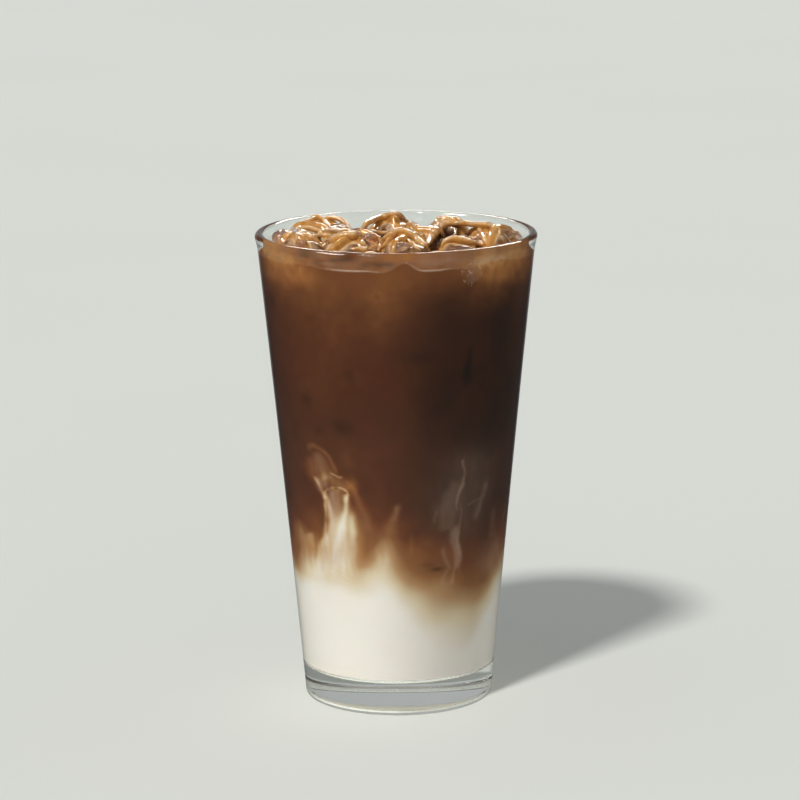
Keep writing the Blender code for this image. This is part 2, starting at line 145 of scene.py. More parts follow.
# Threads of caramel over and between the lumps: radius and points (x, y, z), all in mm.
THREADS = (
    (1, ((-35.2, -6.5, 147.4), (-34.3, -5.7, 148.6), (-33.1, -4.1, 149.9), (-32.2, 6.9, 149.1),
     (-30.7, 13.4, 148.8), (-29, 11.8, 149.1), (-26.8, 9.4, 149.3), (-25.2, 7.8, 149.1),
     (-23.8, 6.3, 148.8), (-22, 5, 148.2), (-20.1, 5.1, 147.8))),
    (1.15, ((-31, -10.1, 148), (-30.9, -8.3, 149.7), (-30.6, 3.6, 149.2), (-28.7, 2.3, 148.9),
     (-27, -2.4, 148.5), (-25.9, -2.3, 147.5), (-24, -1.1, 146.3))),
    (1, ((-27.5, 17.8, 150.6), (-25.6, 18.8, 151.6), (-23.5, 18.6, 150.9), (-22.6, 18, 149.9),
     (-21, 12.5, 149.2))),
    (0.9, ((-23.1, 19.3, 151.3), (-20.9, 19.3, 151.3), (-19.4, 18.6, 151.2), (-18, 17.7, 151),
     (-16.3, 16.4, 149.9), (-15, 14.2, 148.7), (-13.6, 14.2, 147.8))),
    (1, ((-24.4, 6.9, 149.2), (-22.9, 5.7, 149.2), (-20.9, 6.4, 148.9), (-19.3, 8.7, 148.5),
     (-17.7, 10.1, 148.3), (-15.5, 12.3, 148), (-13.9, 13.9, 147.8))),
    (0.8, ((-26.3, -1.9, 148.8), (-24.3, 5.4, 147.7), (-21.6, 4.8, 147.7), (-19.3, 7.1, 147.7))),
    (0.7, ((-23.7, -0.6, 146.4), (-22, 4.5, 146.4), (-20.6, 4.7, 147), (-18.8, 7.2, 147.2),
     (-17, 9.9, 147.3), (-14.9, 12.4, 147.5), (-13.3, 6, 148.7), (-11.2, -0.4, 149.6))),
    (1.5, ((-23, -7.8, 146.1), (-21.4, 1.9, 145.7), (-19.9, -9.4, 148.4), (-18, -12.5, 149.6),
     (-16.2, -13.6, 150.6), (-14.2, -13.7, 150.8), (-12.7, -12.6, 150.8), (-10.7, -0.9, 148.5))),
    (1.1, ((-11.1, -0.2, 150.1), (-10.2, 2, 150.9), (-8.9, 5.7, 151.8), (-7.6, 8.5, 152),
     (-6.2, 11.3, 152.2), (-4.7, 13.5, 152.2), (-2.7, 12.8, 152.7), (-1.2, 11.7, 153.2),
     (0.6, 14.2, 152.8), (2.5, 16.9, 151.3), (3.5, 16.8, 150))),
    (0.8, ((2.4, 11.7, 150.3), (3.5, 9.9, 148.9), (5.3, -7.3, 150.6), (6.6, -10.4, 150.4),
     (8.9, -0.1, 148.8))),
    (1.2, ((3.5, 13.3, 150), (5.7, 8.2, 150.3), (7.1, 1.3, 150.1))),
    (0.8, ((-5, -4.7, 144), (-3.9, -11.2, 146.7), (-2.6, -11.9, 148.3), (-1.6, -11.9, 149.5),
     (0.2, -11.6, 150.6))),
    (1.3, ((-6.1, -4.5, 144), (-5, -4.5, 145.7), (-4.1, -2.8, 146.6), (-2.9, -8.9, 148.8),
     (-1.2, -11.3, 150.6), (0.5, -10.5, 151.5), (1.9, -10.6, 151.5), (3.4, -10.9, 151.1),
     (5.1, -11.3, 150.2), (6.7, -12.1, 149), (7.8, -14.3, 148.4), (8.9, -15.8, 147.5),
     (10.4, -12.6, 145.4))),
    (0.8, ((3.4, -13.2, 149.7), (4.9, -14.3, 148.3), (6.2, -18.5, 147.6), (8, -19.9, 146.5))),
    (0.9, ((-11, -0.8, 148.5), (-10.6, -13.9, 148.5), (-9.7, -13.6, 147.3), (-8.5, -8.4, 145.8),
     (-6.6, -4.5, 145.8), (-5.2, -2.5, 146.8), (-3.8, 7.1, 146.3))),
    (1.2, ((-14.3, -18.8, 147.3), (-12.8, -19.2, 147.3), (-11, -18.7, 147.1), (-9.6, -17.8, 146.6),
     (-7.7, -8.1, 144.9), (-6.1, -4.6, 144.4))),
    (1.5, ((9.9, -10.9, 147.3), (10.8, -2.6, 147.8), (11.6, -1.3, 148.8), (12.5, -1, 149.9),
     (14, 7.8, 149.8), (15.9, 13, 150), (17.4, 11.5, 150.5), (18.9, 9.7, 150.6),
     (21.1, 9, 149.9))),
    (1, ((10.1, 0, 149.9), (11.5, 8.1, 150.3), (12.7, 13.1, 150.6), (14.3, 14.1, 151.6),
     (16.6, 13, 151.8), (18, 10.9, 151.4), (19.8, 9.1, 150.7))),
    (1, ((18.6, 9.4, 150.6), (21.4, 5.6, 151.4), (24.2, 2.4, 151.5), (27, 1.8, 151.5),
     (29, 1.5, 151.5), (30.9, -4.5, 151.7), (32.3, -5, 150.9), (32.4, -6.5, 149.3))),
    (1.1, ((23.3, 10.2, 147), (24.6, 6.6, 148.9), (26.5, 3.2, 150.3), (28.5, 1.5, 150.4))),
    (0.9, ((25.2, 2.7, 150.7), (26.5, 0.9, 149.3), (27.6, -6.3, 148.2), (28.4, -8.6, 146.4))),
    (1.2, ((14, -13.1, 146.7), (15, -12.9, 148.3), (16.2, -12.9, 149), (18.1, -12.8, 149.4),
     (19.5, -12.7, 149.1), (21.4, -12.4, 148.6), (23.5, -11, 147.9), (25.2, -7.3, 146.9),
     (27.5, -7.6, 146.5))),
    (0.7, ((19.2, 8.9, 149.3), (18.7, 5.1, 147.8), (16.4, -12.7, 149.2))),
    (0.8, ((18.6, -12.7, 149.4), (20.6, -12.1, 149.6), (22.8, -1.7, 147.8), (24.3, -3.1, 147.8),
     (26.3, -4.9, 148.7))),
    (0.6, ((35.6, -1.7, 147.5), (36.4, -0.2, 147.8), (37.4, 3.2, 147.8))),
    (0.8, ((-11, -0.5, 148.4), (-8, 4, 149), (-4, 7.6, 148), (0, 9, 148.5), (2.5, 10.5, 149))),
)
THREAD_STEP = 0.5 * MM
THREAD_SAMPLES = 160
THREAD_VOXEL = 0.30 * MM
# Thin sheets between them: the two threads and the span of the second one.
SHEETS = (
    (6, 7, 0, 1), (15, 7, 0.2, 1), (25, 8, 0, 0.9), (11, 12, 0, 0.4), (13, 12, 0.58, 1),
    (16, 17, 0, 1), (19, 18, 0, 0.7), (23, 21, 0.35, 1), (1, 0, 0, 0.45), (5, 4, 0, 0.7),
)
SHEET_STEPS = 30
SHEET_WIDTH_STEPS = 9
SHEET_SAG = 0.5 * MM
SHEET_THICKNESS = 0.75 * MM

# Hollows in the ice: middle (x, y, z), radius and depth in mm, and how dark their painted shade is.
HOLLOWS = (
    ((14.8, -1.8, 147.8), 3, 0.9, 0.95), ((17.8, 7.8, 148), 3.4, 0.9, 0.95),
    ((16.6, 3, 148), 3, 0.6, 0.9), ((13, -1.6, 146.6), 2.2, 0.4, 0.85),
    ((0.8, 9.1, 151.9), 1.5, 0.6, 0.6), ((-4, 7.9, 147.7), 1.6, 0.6, 0.85),
    ((35.8, -0.8, 148.6), 1.6, 0.4, 0.45), ((-23.4, 16, 150.4), 1.2, 0.4, 0.3),
    ((1.8, -17.4, 149), 2, 0.5, 0.25),
)

# Small clear drops and chips of ice: middle and half size (x, y, z) in mm.
CLEAR_BITS = (
    ((-8.2, -4.2, 147.5), (2.7, 1.8, 2.5)), ((20.6, -17.6, 146.6), (3.4, 2.2, 1.5)),
    ((1.6, -19.6, 147.2), (2.8, 1.6, 2.2)), ((35.8, -1.4, 148.2), (1.7, 1.4, 1.3)),
    ((-29.6, -10.2, 147.2), (1.8, 1.4, 1.9)), ((14.6, -3.6, 147.2), (1, 0.9, 0.8)),
    ((-14.5, -19.2, 146.4), (2.4, 1.2, 1)), ((-36, 8, 146.6), (3.4, 4.4, 2.8)),
    ((36.6, 6, 146.6), (3.2, 4.2, 2.6)),
)

# Groups of foam specks on the wall: bearing, height, ring radius and its spread in mm,
# how many, and the largest speck's radius in mm.
SPECK_GROUPS = (
    (303, 142.4, 3.3, 0.25, 50, 0.12), (305, 143.4, 2.6, 0.9, 30, 0.09),
    (303, 142.6, 0.8, 0.8, 14, 0.17), (302, 146.8, 1.4, 0.9, 14, 0.1),
    (262, 136.1, 1.75, 0.06, 10, 0.07),
)
EDGE_SPECKS = 60
EDGE_SPECK_RADIUS = 0.14
SPECK_SEED = 11
STIR_SEED = 7                   # so that the noise with a direction is the same each run
noise.seed_set(STIR_SEED)


def srgb(*display):
    """Linear colour of these 0-255 display values."""
    shares = [value / 255 for value in display]
    return (*(share / 12.92 if share <= 0.04045 else ((share + 0.055) / 1.055) ** 2.4
              for share in shares), 1.0)


def clamped(value):
    return min(1.0, max(0.0, value))


def smooth_step(low, high, value):
    share = clamped((value - low) / (high - low))
    return share * share * (3.0 - 2.0 * share)


def between(span, height):
    """How far a height lies into a span, a pair in mm, eased from 0 to 1."""
    return smooth_step(span[0] * MM, span[1] * MM, height)


def bell(distance, width):
    return math.exp(-(distance / width) ** 2)


def turn_between(bearing, middle):
    """Degrees from middle to bearing, from -180 to 180."""
    return (bearing - middle + 180.0) % 360.0 - 180.0


def swell_at(bearing, swells):
    """The sum of swells round the glass: each has a middle and a spread in degrees and a size."""
    return sum(size * bell(turn_between(bearing, middle), spread)
               for middle, spread, size in swells)


def waver(point, span, kind=noise.noise):
    """Noise about 0 at a point, its lumps about span millimetres across."""
    return kind(point / (span * MM))


def towards(bearing):
    """The level vector, 1 long, along a bearing."""
    angle = math.radians(bearing)
    return Vector((math.cos(angle), math.sin(angle), 0.0))


# ---------------------------------------------------------------- glass outline
def outer_radius(z):
    share = z / HEIGHT
    straight = FOOT_RADIUS + (RIM_RADIUS - FOOT_RADIUS) * share
    return straight - WAIST * 4.0 * share * (1.0 - share)


def lip_radius(z):
    """The outer radius with the bead of the lip on it."""
    return outer_radius(z) + LIP_BEAD * smooth_step(HEIGHT - LIP_HEIGHT, HEIGHT, z)


def inner_radius(z):
    share = z / HEIGHT
    return outer_radius(z) - FOOT_WALL - (RIM_WALL - FOOT_WALL) * share


def arc(centre, radii, start, end, pieces):
    """Points (x, z) of an arc, its angles in degrees from +X towards +Z."""
    turns = [math.radians(start + (end - start) * i / pieces) for i in range(pieces + 1)]
    return [(centre[0] + radii[0] * math.cos(turn), centre[1] + radii[1] * math.sin(turn))
            for turn in turns]


def wall_rows(radius_at, start, end, pieces):
    """Points (x, z) along a wall, without the one at its start."""
    heights = [start + (end - start) * i / pieces for i in range(1, pieces + 1)]
    return [(radius_at(z), z) for z in heights]


def glass_profile():
    """From the middle of the floor up the inside, over the lip and down the outside."""
    lip_half = (RIM_WALL + LIP_BEAD) / 2
    lip_base = HEIGHT - lip_half
    corner_base = FLOOR + FLOOR_ROUND
    corner = (inner_radius(corner_base) - FLOOR_ROUND, corner_base)
    foot = (outer_radius(FOOT_ROUND) - FOOT_ROUND, FOOT_ROUND)
    lip = (inner_radius(lip_base) + lip_half, lip_base)
    wall_top = HEIGHT - LIP_HEIGHT
    return [(0.0, FLOOR), (corner[0] * 0.35, FLOOR), (corner[0] * 0.7, FLOOR),
            *arc(corner, (FLOOR_ROUND, FLOOR_ROUND), -90, 0, 10),
            *wall_rows(inner_radius, corner_base, lip_base, 14),
            *arc(lip, (lip_half, lip_half), 180, 0, 14)[1:],
            *wall_rows(lip_radius, lip_base, wall_top, 5),
            *wall_rows(outer_radius, wall_top, FOOT_ROUND, 14)[:-1],
            *arc(foot, (FOOT_ROUND, FOOT_ROUND), 0, -90, 8),
            *arc((0.0, 0.0), (PUNT_RADIUS, PUNT_DEPTH), 0, 90, 8)]


# ---------------------------------------------------------------- mesh helpers
def new_piece(name, mesh, finish=None):
    obj = bpy.data.objects.new(name, mesh)
    bpy.context.scene.collection.objects.link(obj)
    if finish:
        mesh.materials.append(finish)
    return obj


def faced_out(work):
    bmesh.ops.recalc_face_normals(work, faces=work.faces[:])
    return work


def turned(profile, steps):
    """A bmesh of the profile (x, z) turned once round the Z axis."""
    work = bmesh.new()
    verts = [work.verts.new((x, 0.0, z)) for x, z in profile]
    edges = [work.edges.new(pair) for pair in zip(verts, verts[1:])]
    bmesh.ops.spin(work, geom=verts + edges, cent=(0, 0, 0), axis=(0, 0, 1),
                   angle=math.tau, steps=steps, use_merge=True)
    bmesh.ops.remove_doubles(work, verts=work.verts[:], dist=MERGE_DISTANCE)
    return faced_out(work)


def to_mesh(work, name):
    mesh = bpy.data.meshes.new(name)
    work.to_mesh(mesh)
    work.free()
    mesh.polygons.foreach_set("use_smooth", [True] * len(mesh.polygons))
    mesh.set_sharp_from_angle(angle=math.radians(SHARP_ANGLE))
    mesh.update()
    return mesh


def settled_mesh(obj):
    """What an object is with its modifiers and bevel applied. The object itself goes."""
    graph = bpy.context.evaluated_depsgraph_get()
    mesh = bpy.data.meshes.new_from_object(obj.evaluated_get(graph), depsgraph=graph)
    bpy.data.objects.remove(obj, do_unlink=True)
    return mesh


def dressed(name, work, finish, node=None):
    """A finished piece of the drink, in place of a node of the part where one is given."""
    piece = new_piece(name, to_mesh(work, name), finish)
    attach(piece, "root")
    if node:
        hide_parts(node)
    return piece


def nearest_of(points):
    """A search that gives the place, index and distance of the nearest of these points."""
    tree = kdtree.KDTree(len(points))
    for i, point in enumerate(points):
        tree.insert(point, i)
    tree.balance()
    return tree.find


# ---------------------------------------------------------------- material helpers
class Nodes:
    """The node tree of a world or a material, with short ways to add to it."""

    def __init__(self, owner):
        owner.use_nodes = True
        self.tree = owner.node_tree

    def add(self, kind, inputs=(), **settings):
        """A new node. Its inputs are linked where a socket is given, and otherwise set."""
        node = self.tree.nodes.new(kind)
        for name, value in settings.items():
            setattr(node, name, value)
        for name, source in dict(inputs).items():
            self.feed(node.inputs[name], source)
        return node

    def feed(self, socket, source):
        if isinstance(source, bpy.types.NodeSocket):
            self.tree.links.new(source, socket)
        else:
            socket.default_value = source

    def split(self, vector):
        return self.add("ShaderNodeSeparateXYZ", {0: vector}).outputs

    def eased(self, value, start, end):
        """Goes smoothly from start to end, each a pair of what value is and what it gives."""
        spans = {"From Min": start[0], "From Max": end[0], "To Min": start[1], "To Max": end[1]}
        return self.add("ShaderNodeMapRange", {"Value": value, **spans},
                        interpolation_type="SMOOTHSTEP").outputs["Result"]


class Finish(Nodes):
    """A node-based material round one Principled shader, given its sockets' values."""

    def __init__(self, name, **values):
        self.material = bpy.data.materials.new(name)
        super().__init__(self.material)
        self.shader = self.tree.nodes["Principled BSDF"]
        for socket, value in values.items():
            self.to_shader(socket.replace("_", " "), value)
        self.place = self.add("ShaderNodeTexCoord").outputs["Object"]

    def to_shader(self, name, source):
        self.feed(self.shader.inputs[name], source)

    def noise(self, size, detail=3.0, rough=0.5, warp=0.0):
        """Noise from 0 to 1 whose lumps are about size metres across."""
        look = {"Scale": 1.0 / size, "Detail": detail, "Roughness": rough, "Distortion": warp}
        return self.add("ShaderNodeTexNoise", {"Vector": self.place, **look}).outputs["Fac"]

    def cells(self, size):
        """The distance to the edges of cells about size metres across."""
        return self.add("ShaderNodeTexVoronoi", {"Vector": self.place, "Scale": 1.0 / size},
                        feature="DISTANCE_TO_EDGE").outputs["Distance"]

    def attribute(self, name, part="Fac"):
        return self.add("ShaderNodeAttribute", attribute_name=name).outputs[part]

    def ramp(self, factor, *stops):
        """Colours or values by factor; a stop is (place, colour or value)."""
        node = self.add("ShaderNodeValToRGB", {"Fac": factor})
        band = node.color_ramp
        while len(band.elements) < len(stops):
            band.elements.new(1.0)
        for element, (place, value) in zip(band.elements, stops):
            element.position = place
            element.color = value if isinstance(value, tuple) else (value, value, value, 1.0)
        return node.outputs["Color"]

    def vary(self, name, factor, *stops):
        """Gives a socket of the shader colours or values by factor, as ramp does."""
        self.to_shader(name, self.ramp(factor, *stops))

    def mix(self, factor, first, second, blend="MIX"):
        return self.add("ShaderNodeMix", {"Factor": factor, 6: first, 7: second},
                        data_type="RGBA", blend_type=blend).outputs[2]

    def bump(self, height, distance, strength):
        relief = {"Height": height, "Distance": distance, "Strength": strength}
        self.to_shader("Normal", self.add("ShaderNodeBump", relief).outputs["Normal"])


# ---------------------------------------------------------------- colours of the drink
MILK = srgb(248, 241, 232)
CREAM = srgb(230, 212, 180)
OCHRE = srgb(188, 148, 106)
LATTE = srgb(140, 94, 60)
TOFFEE = srgb(115, 66, 40)
COFFEE = srgb(87, 48, 30)
# Dark coffee, also the colour of the painted shade on the drink's sides.
DARK_COFFEE_AND_SHADE = srgb(37, 22, 16)
AMBER = srgb(180, 120, 64)
VEIL = srgb(206, 174, 152)
GOLDEN = srgb(212, 153, 76)
DEEP_CARAMEL = srgb(146, 84, 30)
# Pale caramel where it runs thin, and the painted sheen on the threads' tops.
PALE_CARAMEL = srgb(238, 208, 168)
BARE_ICE = srgb(164, 116, 74)
CLOUDY_ICE = srgb(128, 80, 50)
PALE_CRACKS = srgb(204, 172, 134)
# Painted shade in the hollows of the ice, in the dark brown of the drink.
HOLLOW_SHADE_BROWN = srgb(58, 26, 16)
FLAT = (0.5, 0.5, 0.5, 1.0)
WHITE = (1.0, 1.0, 1.0, 1.0)
SCATTER = (1.0, 0.6, 0.35)      # how far red, green and blue light spread inside

# ---------------------------------------------------------------- milk and shade in the drink
# Streaks of milk drawn up the wall: points (bearing, height in mm) from the top down,
# half widths in mm at the top, middle and bottom, how strongly the milk shows, and the
# share of the length over which the upper end fades in.
STREAKS = (
    (((229.5, 73), (230.5, 70), (232.4, 66), (232.8, 62), (231.5, 58), (228, 54), (222, 41)),
     (0.8, 1.7, 2.4), 0.62, 0.12),
    (((227.6, 72), (229, 69), (229, 65), (227.6, 60), (227, 56.5), (223, 52), (219, 41)),
     (0.5, 0.9, 1.8), 0.55, 0.25),
    (((242, 73), (242.2, 69), (241, 66), (239.4, 62), (237.4, 58), (234.5, 54), (229, 41)),
     (1.15, 1.15, 1.9), 0.9, 0.06),
    (((242.4, 72), (243.4, 66), (244.2, 62), (244, 58), (241.5, 54), (235, 42)),
     (1.3, 3.3, 4.2), 0.7, 0.22),
    (((239, 68), (236.5, 61), (234, 56), (228, 42)), (1.6, 2.8, 4.4), 0.58, 0.3),
    (((236.5, 74.2), (237, 70.5), (238, 66), (239.5, 61), (240, 54), (237, 43)),
     (2.2, 4.2, 4.8), 0.46, 0.06),
    (((229.4, 71.2), (231, 72.9), (235, 73.9), (239.2, 74.4), (242, 73.4), (244.4, 71.4)),
     (0.4, 0.5, 0.5), 0.6, 0.1),
    (((222, 77.5), (225.2, 75), (227.5, 72.3), (229.8, 69.5)), (0.6, 0.9, 1), 0.48, 0.15),
    (((223, 77), (227, 75.6), (233, 76.3), (240, 75.4), (244, 73)), (1.6, 2.5, 1.4), 0.38, 0.25),
    (((232.5, 78.6), (236.1, 78.2), (239.6, 77.8), (242, 78)), (0.3, 0.45, 0.35), 0.48, 0.1),
    (((220, 84), (222.5, 86.4), (228.5, 86.3), (233.3, 84.5), (236, 81.5), (238.6, 78)),
     (1, 0.8, 0.7), 0.26, 0.2),
    (((224, 86), (227.4, 82), (229.5, 79), (231.5, 75.5)), (1.8, 3.4, 2.6), 0.3, 0.3),
    (((218.5, 84), (221, 79), (224, 75)), (1.2, 2.5, 1.2), 0.18, 0.3),
    (((241, 78), (246.2, 75), (248.7, 71.8), (250.6, 68), (253.1, 64.9), (256, 59)),
     (0.7, 1.3, 2.6), 0.25, 0.15),
    (((258, 64), (257, 58), (258, 44)), (1.6, 3.6, 5), 0.22, 0.5),
    (((271.2, 70.7), (269.1, 67.8), (266.9, 63.5), (264.7, 58.6), (260, 43)),
     (0.9, 1.7, 4), 0.32, 0.18),
    (((209, 62), (207, 56), (209, 42)), (3, 4.6, 6), 0.36, 0.45),
    (((216, 59), (217, 55), (219, 42)), (2, 3.4, 5), 0.44, 0.4),
    (((80, 70), (76, 62), (73, 54), (70, 46)), (0.8, 2, 3.4), 0.6, 0.2),
    (((86, 80), (82, 73), (80, 66)), (0.4, 0.6, 1), 0.3, 0.2),
    (((60, 62), (64, 55), (62, 48)), (0.4, 0.8, 1.6), 0.3, 0.2),
    (((160, 66), (163, 60), (158, 53), (160, 46)), (0.6, 1.6, 2.8), 0.5, 0.2),
    (((150, 74), (155, 68), (159, 61)), (0.3, 0.5, 0.8), 0.26, 0.2),
    (((118, 64), (114, 58), (117, 51)), (0.4, 0.9, 1.8), 0.3, 0.2),
    (((226.8, 144), (226.3, 140.6), (227.1, 138.3)), (0.4, 0.3, 0.9), 0.3, 0.05),
    (((12, 68), (16, 62), (13, 55), (17, 48)), (0.4, 1, 2), 0.34, 0.2),
    (((345, 72), (348, 66), (343, 58)), (0.3, 0.6, 0.9), 0.2, 0.2),
)

# Thin greyish veils of milk, given like the streaks.
VEILS = (
    (((230.4, 71), (232.2, 67), (232.8, 62.5), (231.8, 58), (229, 54)), (0.5, 1, 1.2), 0.42, 0.2),
    (((234.6, 73.4), (234.6, 70.5), (235, 67), (234.6, 62)), (1, 1.6, 1.5), 0.34, 0.15),
    (((239.5, 62), (238, 58), (235, 53.5), (231.5, 48)), (0.3, 0.45, 0.6), 0.3, 0.25),
    (((228, 54), (225, 50), (222.5, 45)), (0.5, 0.8, 1), 0.3, 0.3),
    (((223, 77), (226.5, 74.5), (232, 74.6)), (1, 1.8, 1), 0.16, 0.15),
    (((225.5, 85), (227.4, 82), (229, 78.5)), (1.8, 2.6, 2.4), 0.06, 0.15),
    (((304.5, 84), (304.8, 81), (305.7, 78.5), (304.7, 75.6), (302.7, 72.2), (301.8, 69),
     (302.8, 65.4)), (0.35, 0.5, 0.5), 0.25, 0.08),
    (((302, 77.5), (299, 73), (296.8, 68), (296.5, 63.5), (298, 60)), (1.6, 2.7, 2.6), 0.1, 0.15),
    (((302.6, 62.5), (302, 60), (301.7, 57.3), (302.7, 54), (304.2, 51), (304, 47)),
     (1, 1.5, 1.3), 0.27, 0.2),
    (((303.6, 69.2), (305.2, 66.2), (304.9, 62.9), (304.1, 58.7), (303.9, 54.5), (306.4, 50.4),
     (306.1, 47.1), (303.7, 44)), (0.3, 0.45, 0.5), 0.18, 0.08),
    (((296.6, 74.6), (294.5, 71.8), (292.5, 68.7), (289.3, 65.3), (288.6, 62.5)),
     (0.3, 0.45, 0.5), 0.13, 0.15),
    (((296.2, 57.7), (294.6, 53.9), (296.7, 50.5), (300.2, 46.9)), (0.4, 0.7, 0.6), 0.13, 0.2),
    (((303, 49.5), (301.8, 46), (301.2, 42)), (0.5, 0.6, 0.7), 0.26, 0.2),
    (((298, 48), (295.9, 45.2), (294.9, 42)), (0.4, 0.5, 0.6), 0.16, 0.2),
    (((323.5, 76.5), (321.1, 73.1), (319.9, 70.6), (318.2, 67.9), (316.4, 64.8), (314.7, 61)),
     (1, 1.2, 0.8), 0.11, 0.2),
    (((321.6, 74), (320.6, 71.5)), (1.1, 1.2, 1.1), 0.07, 0.3),
    (((307.5, 67), (312.1, 68.8), (317.9, 69.2), (320.8, 70.5)), (0.3, 0.4, 0.4), 0.12, 0.15),
    (((304.5, 78.6), (309.4, 78.8), (314.7, 79.3)), (0.35, 0.35, 0.3), 0.1, 0.1),
    (((331, 66), (331, 60), (332, 54)), (0.8, 1.6, 2.4), 0.07, 0.3),
    (((304, 145), (304.2, 142.4), (304, 139.6)), (1.8, 2.8, 1.8), 0.17, 0.1),
    (((313, 90), (311, 79), (308, 66), (306, 48)), (8, 12, 12), 0.09, 0.3),
    (((338, 56), (334, 48), (330, 40)), (4, 7, 7), 0.15, 0.3),
    (((271.5, 71.5), (269.5, 68), (267.5, 64)), (0.7, 1.1, 1.2), 0.07, 0.2),
)
STREAK_SAMPLES = 48

# How far the milk's upper edge stands off its mean height: bearing, spread in degrees, mm.
CREAM_MEAN = 49.0 * MM
CREAM_SWELLS = (
    (230, 14, -0.8), (198, 14, -3.2), (264, 8, 3), (287, 10, -2.4), (316, 26, -10.5), (75, 22, 3),
    (130, 16, -3.5), (20, 20, -2.5),
)
CREAM_SOFTNESS = 8.8 * MM
HAZY_SIDES = ((302, 36, 1),)    # where that edge is softer: bearing, spread, share
HAZE_SOFTNESS = 13.0 * MM
# Painted shade on the milk, darker on its right side away from the key light.
PAINTED_MILK_SHADES = ((300, 34, 0.23),)    # shade on the milk: bearing, spread, depth
CREAM_RIPPLE = 2.2 * MM
# Spans in mm in which the drink changes: how far below the milk's edge, how far up the
# glass, and how far over the line where the drink meets the wall.
MILKY_TAIL = (-24, -4)
COFFEE_STARTS = (50, 72)
FAINT_VEIL = (112, 84)
CROWN = (122, 142)
LIGHT_TOP = (133, 143.5)
FOAM_EDGE = (-0.15, 0.35)
DARK_BELT = (97.0 * MM, 13.0 * MM)      # height of its middle, and its spread
AMBER_EDGE = 5.0 * MM           # how far over the milk it is amber, and over what spread
CONTACT_WIDTH = 0.24 * MM       # of the bright line where the drink meets the wall
RIM_DEPTH = 9.0 * MM            # how far under the level foam and caramel still show

# Clouds in the drink: bearing, height, half width and half height in mm, and how much
# darker (or, below zero, lighter) and how much more amber they make it.
CLOUDS = (
    (248, 110.7, 1.5, 1.9, 0.34, 0), (304, 111, 1.3, 3.4, 0.55, 0), (305, 116.5, 0.8, 2.2, 0.4, 0),
    (277, 116.8, 6, 1.8, 0.16, 0), (222, 101.5, 2.8, 2.4, 0.3, 0), (243, 94, 3.4, 2.8, 0.42, 0),
    (201, 131, 2.2, 2, 0.34, 0), (229, 92, 2.4, 2, 0.16, 0), (222, 60, 2.6, 6, 0, 0.1),
    (226.3, 62, 0.6, 6.5, 0.26, 0.1), (246, 75, 2, 2.6, -0.04, 0.34),
    (250, 57, 0.9, 4.5, 0.02, 0.34), (246, 55.5, 4, 4.5, 0.02, 0.22),
    (229, 52, 4, 3.6, 0.02, 0.16), (284, 55.7, 3.4, 3.6, -0.05, 0.16),
    (277, 56.5, 0.8, 3, 0, 0.24), (286, 49.6, 2, 0.7, 0.3, 0), (292, 48, 2.4, 0.7, 0.42, 0),
    (285.5, 44.6, 4.2, 1.8, -0.02, 0.1), (314, 50.2, 2, 3.4, 0.16, 0.1),
    (309, 47, 0.8, 2.2, 0.16, 0), (324, 57, 4, 7, 0.16, 0), (216, 52, 4, 3, -0.04, 0.12),
    (268, 136, 7.5, 9, -0.1, 0.1), (262, 128, 5, 7, -0.04, 0.08), (232, 134, 12, 7, -0.06, 0.1),
    (246, 126, 8, 6, -0.02, 0.06), (292, 130, 6, 5, 0.1, 0.02), (236, 118, 8, 9, -0.04, 0.04),
    (226, 104, 6, 6, 0, 0.04), (210, 86, 6, 10, 0.1, 0), (245, 84, 3, 5, 0, 0.1),
    (262, 136.1, 1.75, 1.75, -0.06, 0.12), (262, 136.1, 0.75, 0.75, 0.4, 0),
    (222, 141.8, 8, 3.4, -0.16, 0.34), (204, 141, 5, 4, -0.3, 0.24),
    (318, 141.4, 7, 3.4, -0.14, 0.34), (334, 141, 6, 4.4, -0.2, 0.26),
    (316, 134, 7, 4, -0.24, 0.12), (303, 137, 5, 4, -0.12, 0.06),
    (303, 142.4, 3.6, 3.6, -0.1, 0.1), (303, 142, 2, 2.4, 0.22, 0), (336, 130, 4, 9, -0.14, 0),
    (284.5, 137.9, 5, 0.35, -0.06, 0.03),
)

# How dark the coffee stands round the glass, partly as painted shade on the sides away from the key
# light and partly as coffee with less milk mixed in: bearing, spread in degrees, depth.
SHADED_SIDES = (
    (320, 38, 0.7), (288, 16, 0.22), (189, 17, 0.4), (5, 20, 0.5), (95, 40, 0.25),
)

# Where the drink's edge is drawn up the wall: bearing, spread in degrees, rise in mm.
CONTACT_SWELLS = (
    (273.5, 4.6, 3), (292, 7, 0.5), (228, 9, 0.8), (318, 12, 1.2), (20, 14, 0.9), (100, 18, 0.6),
    (160, 12, 0.8),
)
# Ochre patches of caramel on the wall by the rim: bearing, height in mm, half width and
# half height in mm, how much of the caramel's colour, and how milky.
RIM_PATCHES = (
    (214, 145.8, 6.5, 2.4, 0.62, 0.4), (203, 146.6, 5, 2.2, 0.45, 0.34),
    (314, 145.6, 8, 2.6, 0.62, 0.64), (332, 146.4, 6, 2.8, 0.6, 0.4),
    (272, 148.4, 6, 1.2, 0.44, -0.12), (316, 140.6, 8, 3, 0.1, 0.22), (218, 141, 9, 3, 0, 0.14),
    (20, 145, 9, 1.6, 0.5, 0.3), (130, 144.6, 9, 1.4, 0.5, 0.3),
)
# Dark blotches and clear patches there, given in the same way with a depth of shade.
RIM_BLOTCHES = (
    (249, 147.7, 3.4, 0.9, 0.62), (243, 147.2, 1.6, 0.7, 0.4), (264, 146.4, 3.2, 0.8, 0.62),
    (257, 146, 1.6, 0.7, 0.4), (229, 148, 3.4, 0.9, 0.4), (236, 146.2, 1.8, 1.2, 0.34),
    (241, 146, 2.4, 0.7, -0.12), (244, 145.6, 6, 1.6, 0.16), (288, 147.2, 6, 1.2, -0.16),
    (350, 146, 5, 2.4, 0.4),
)
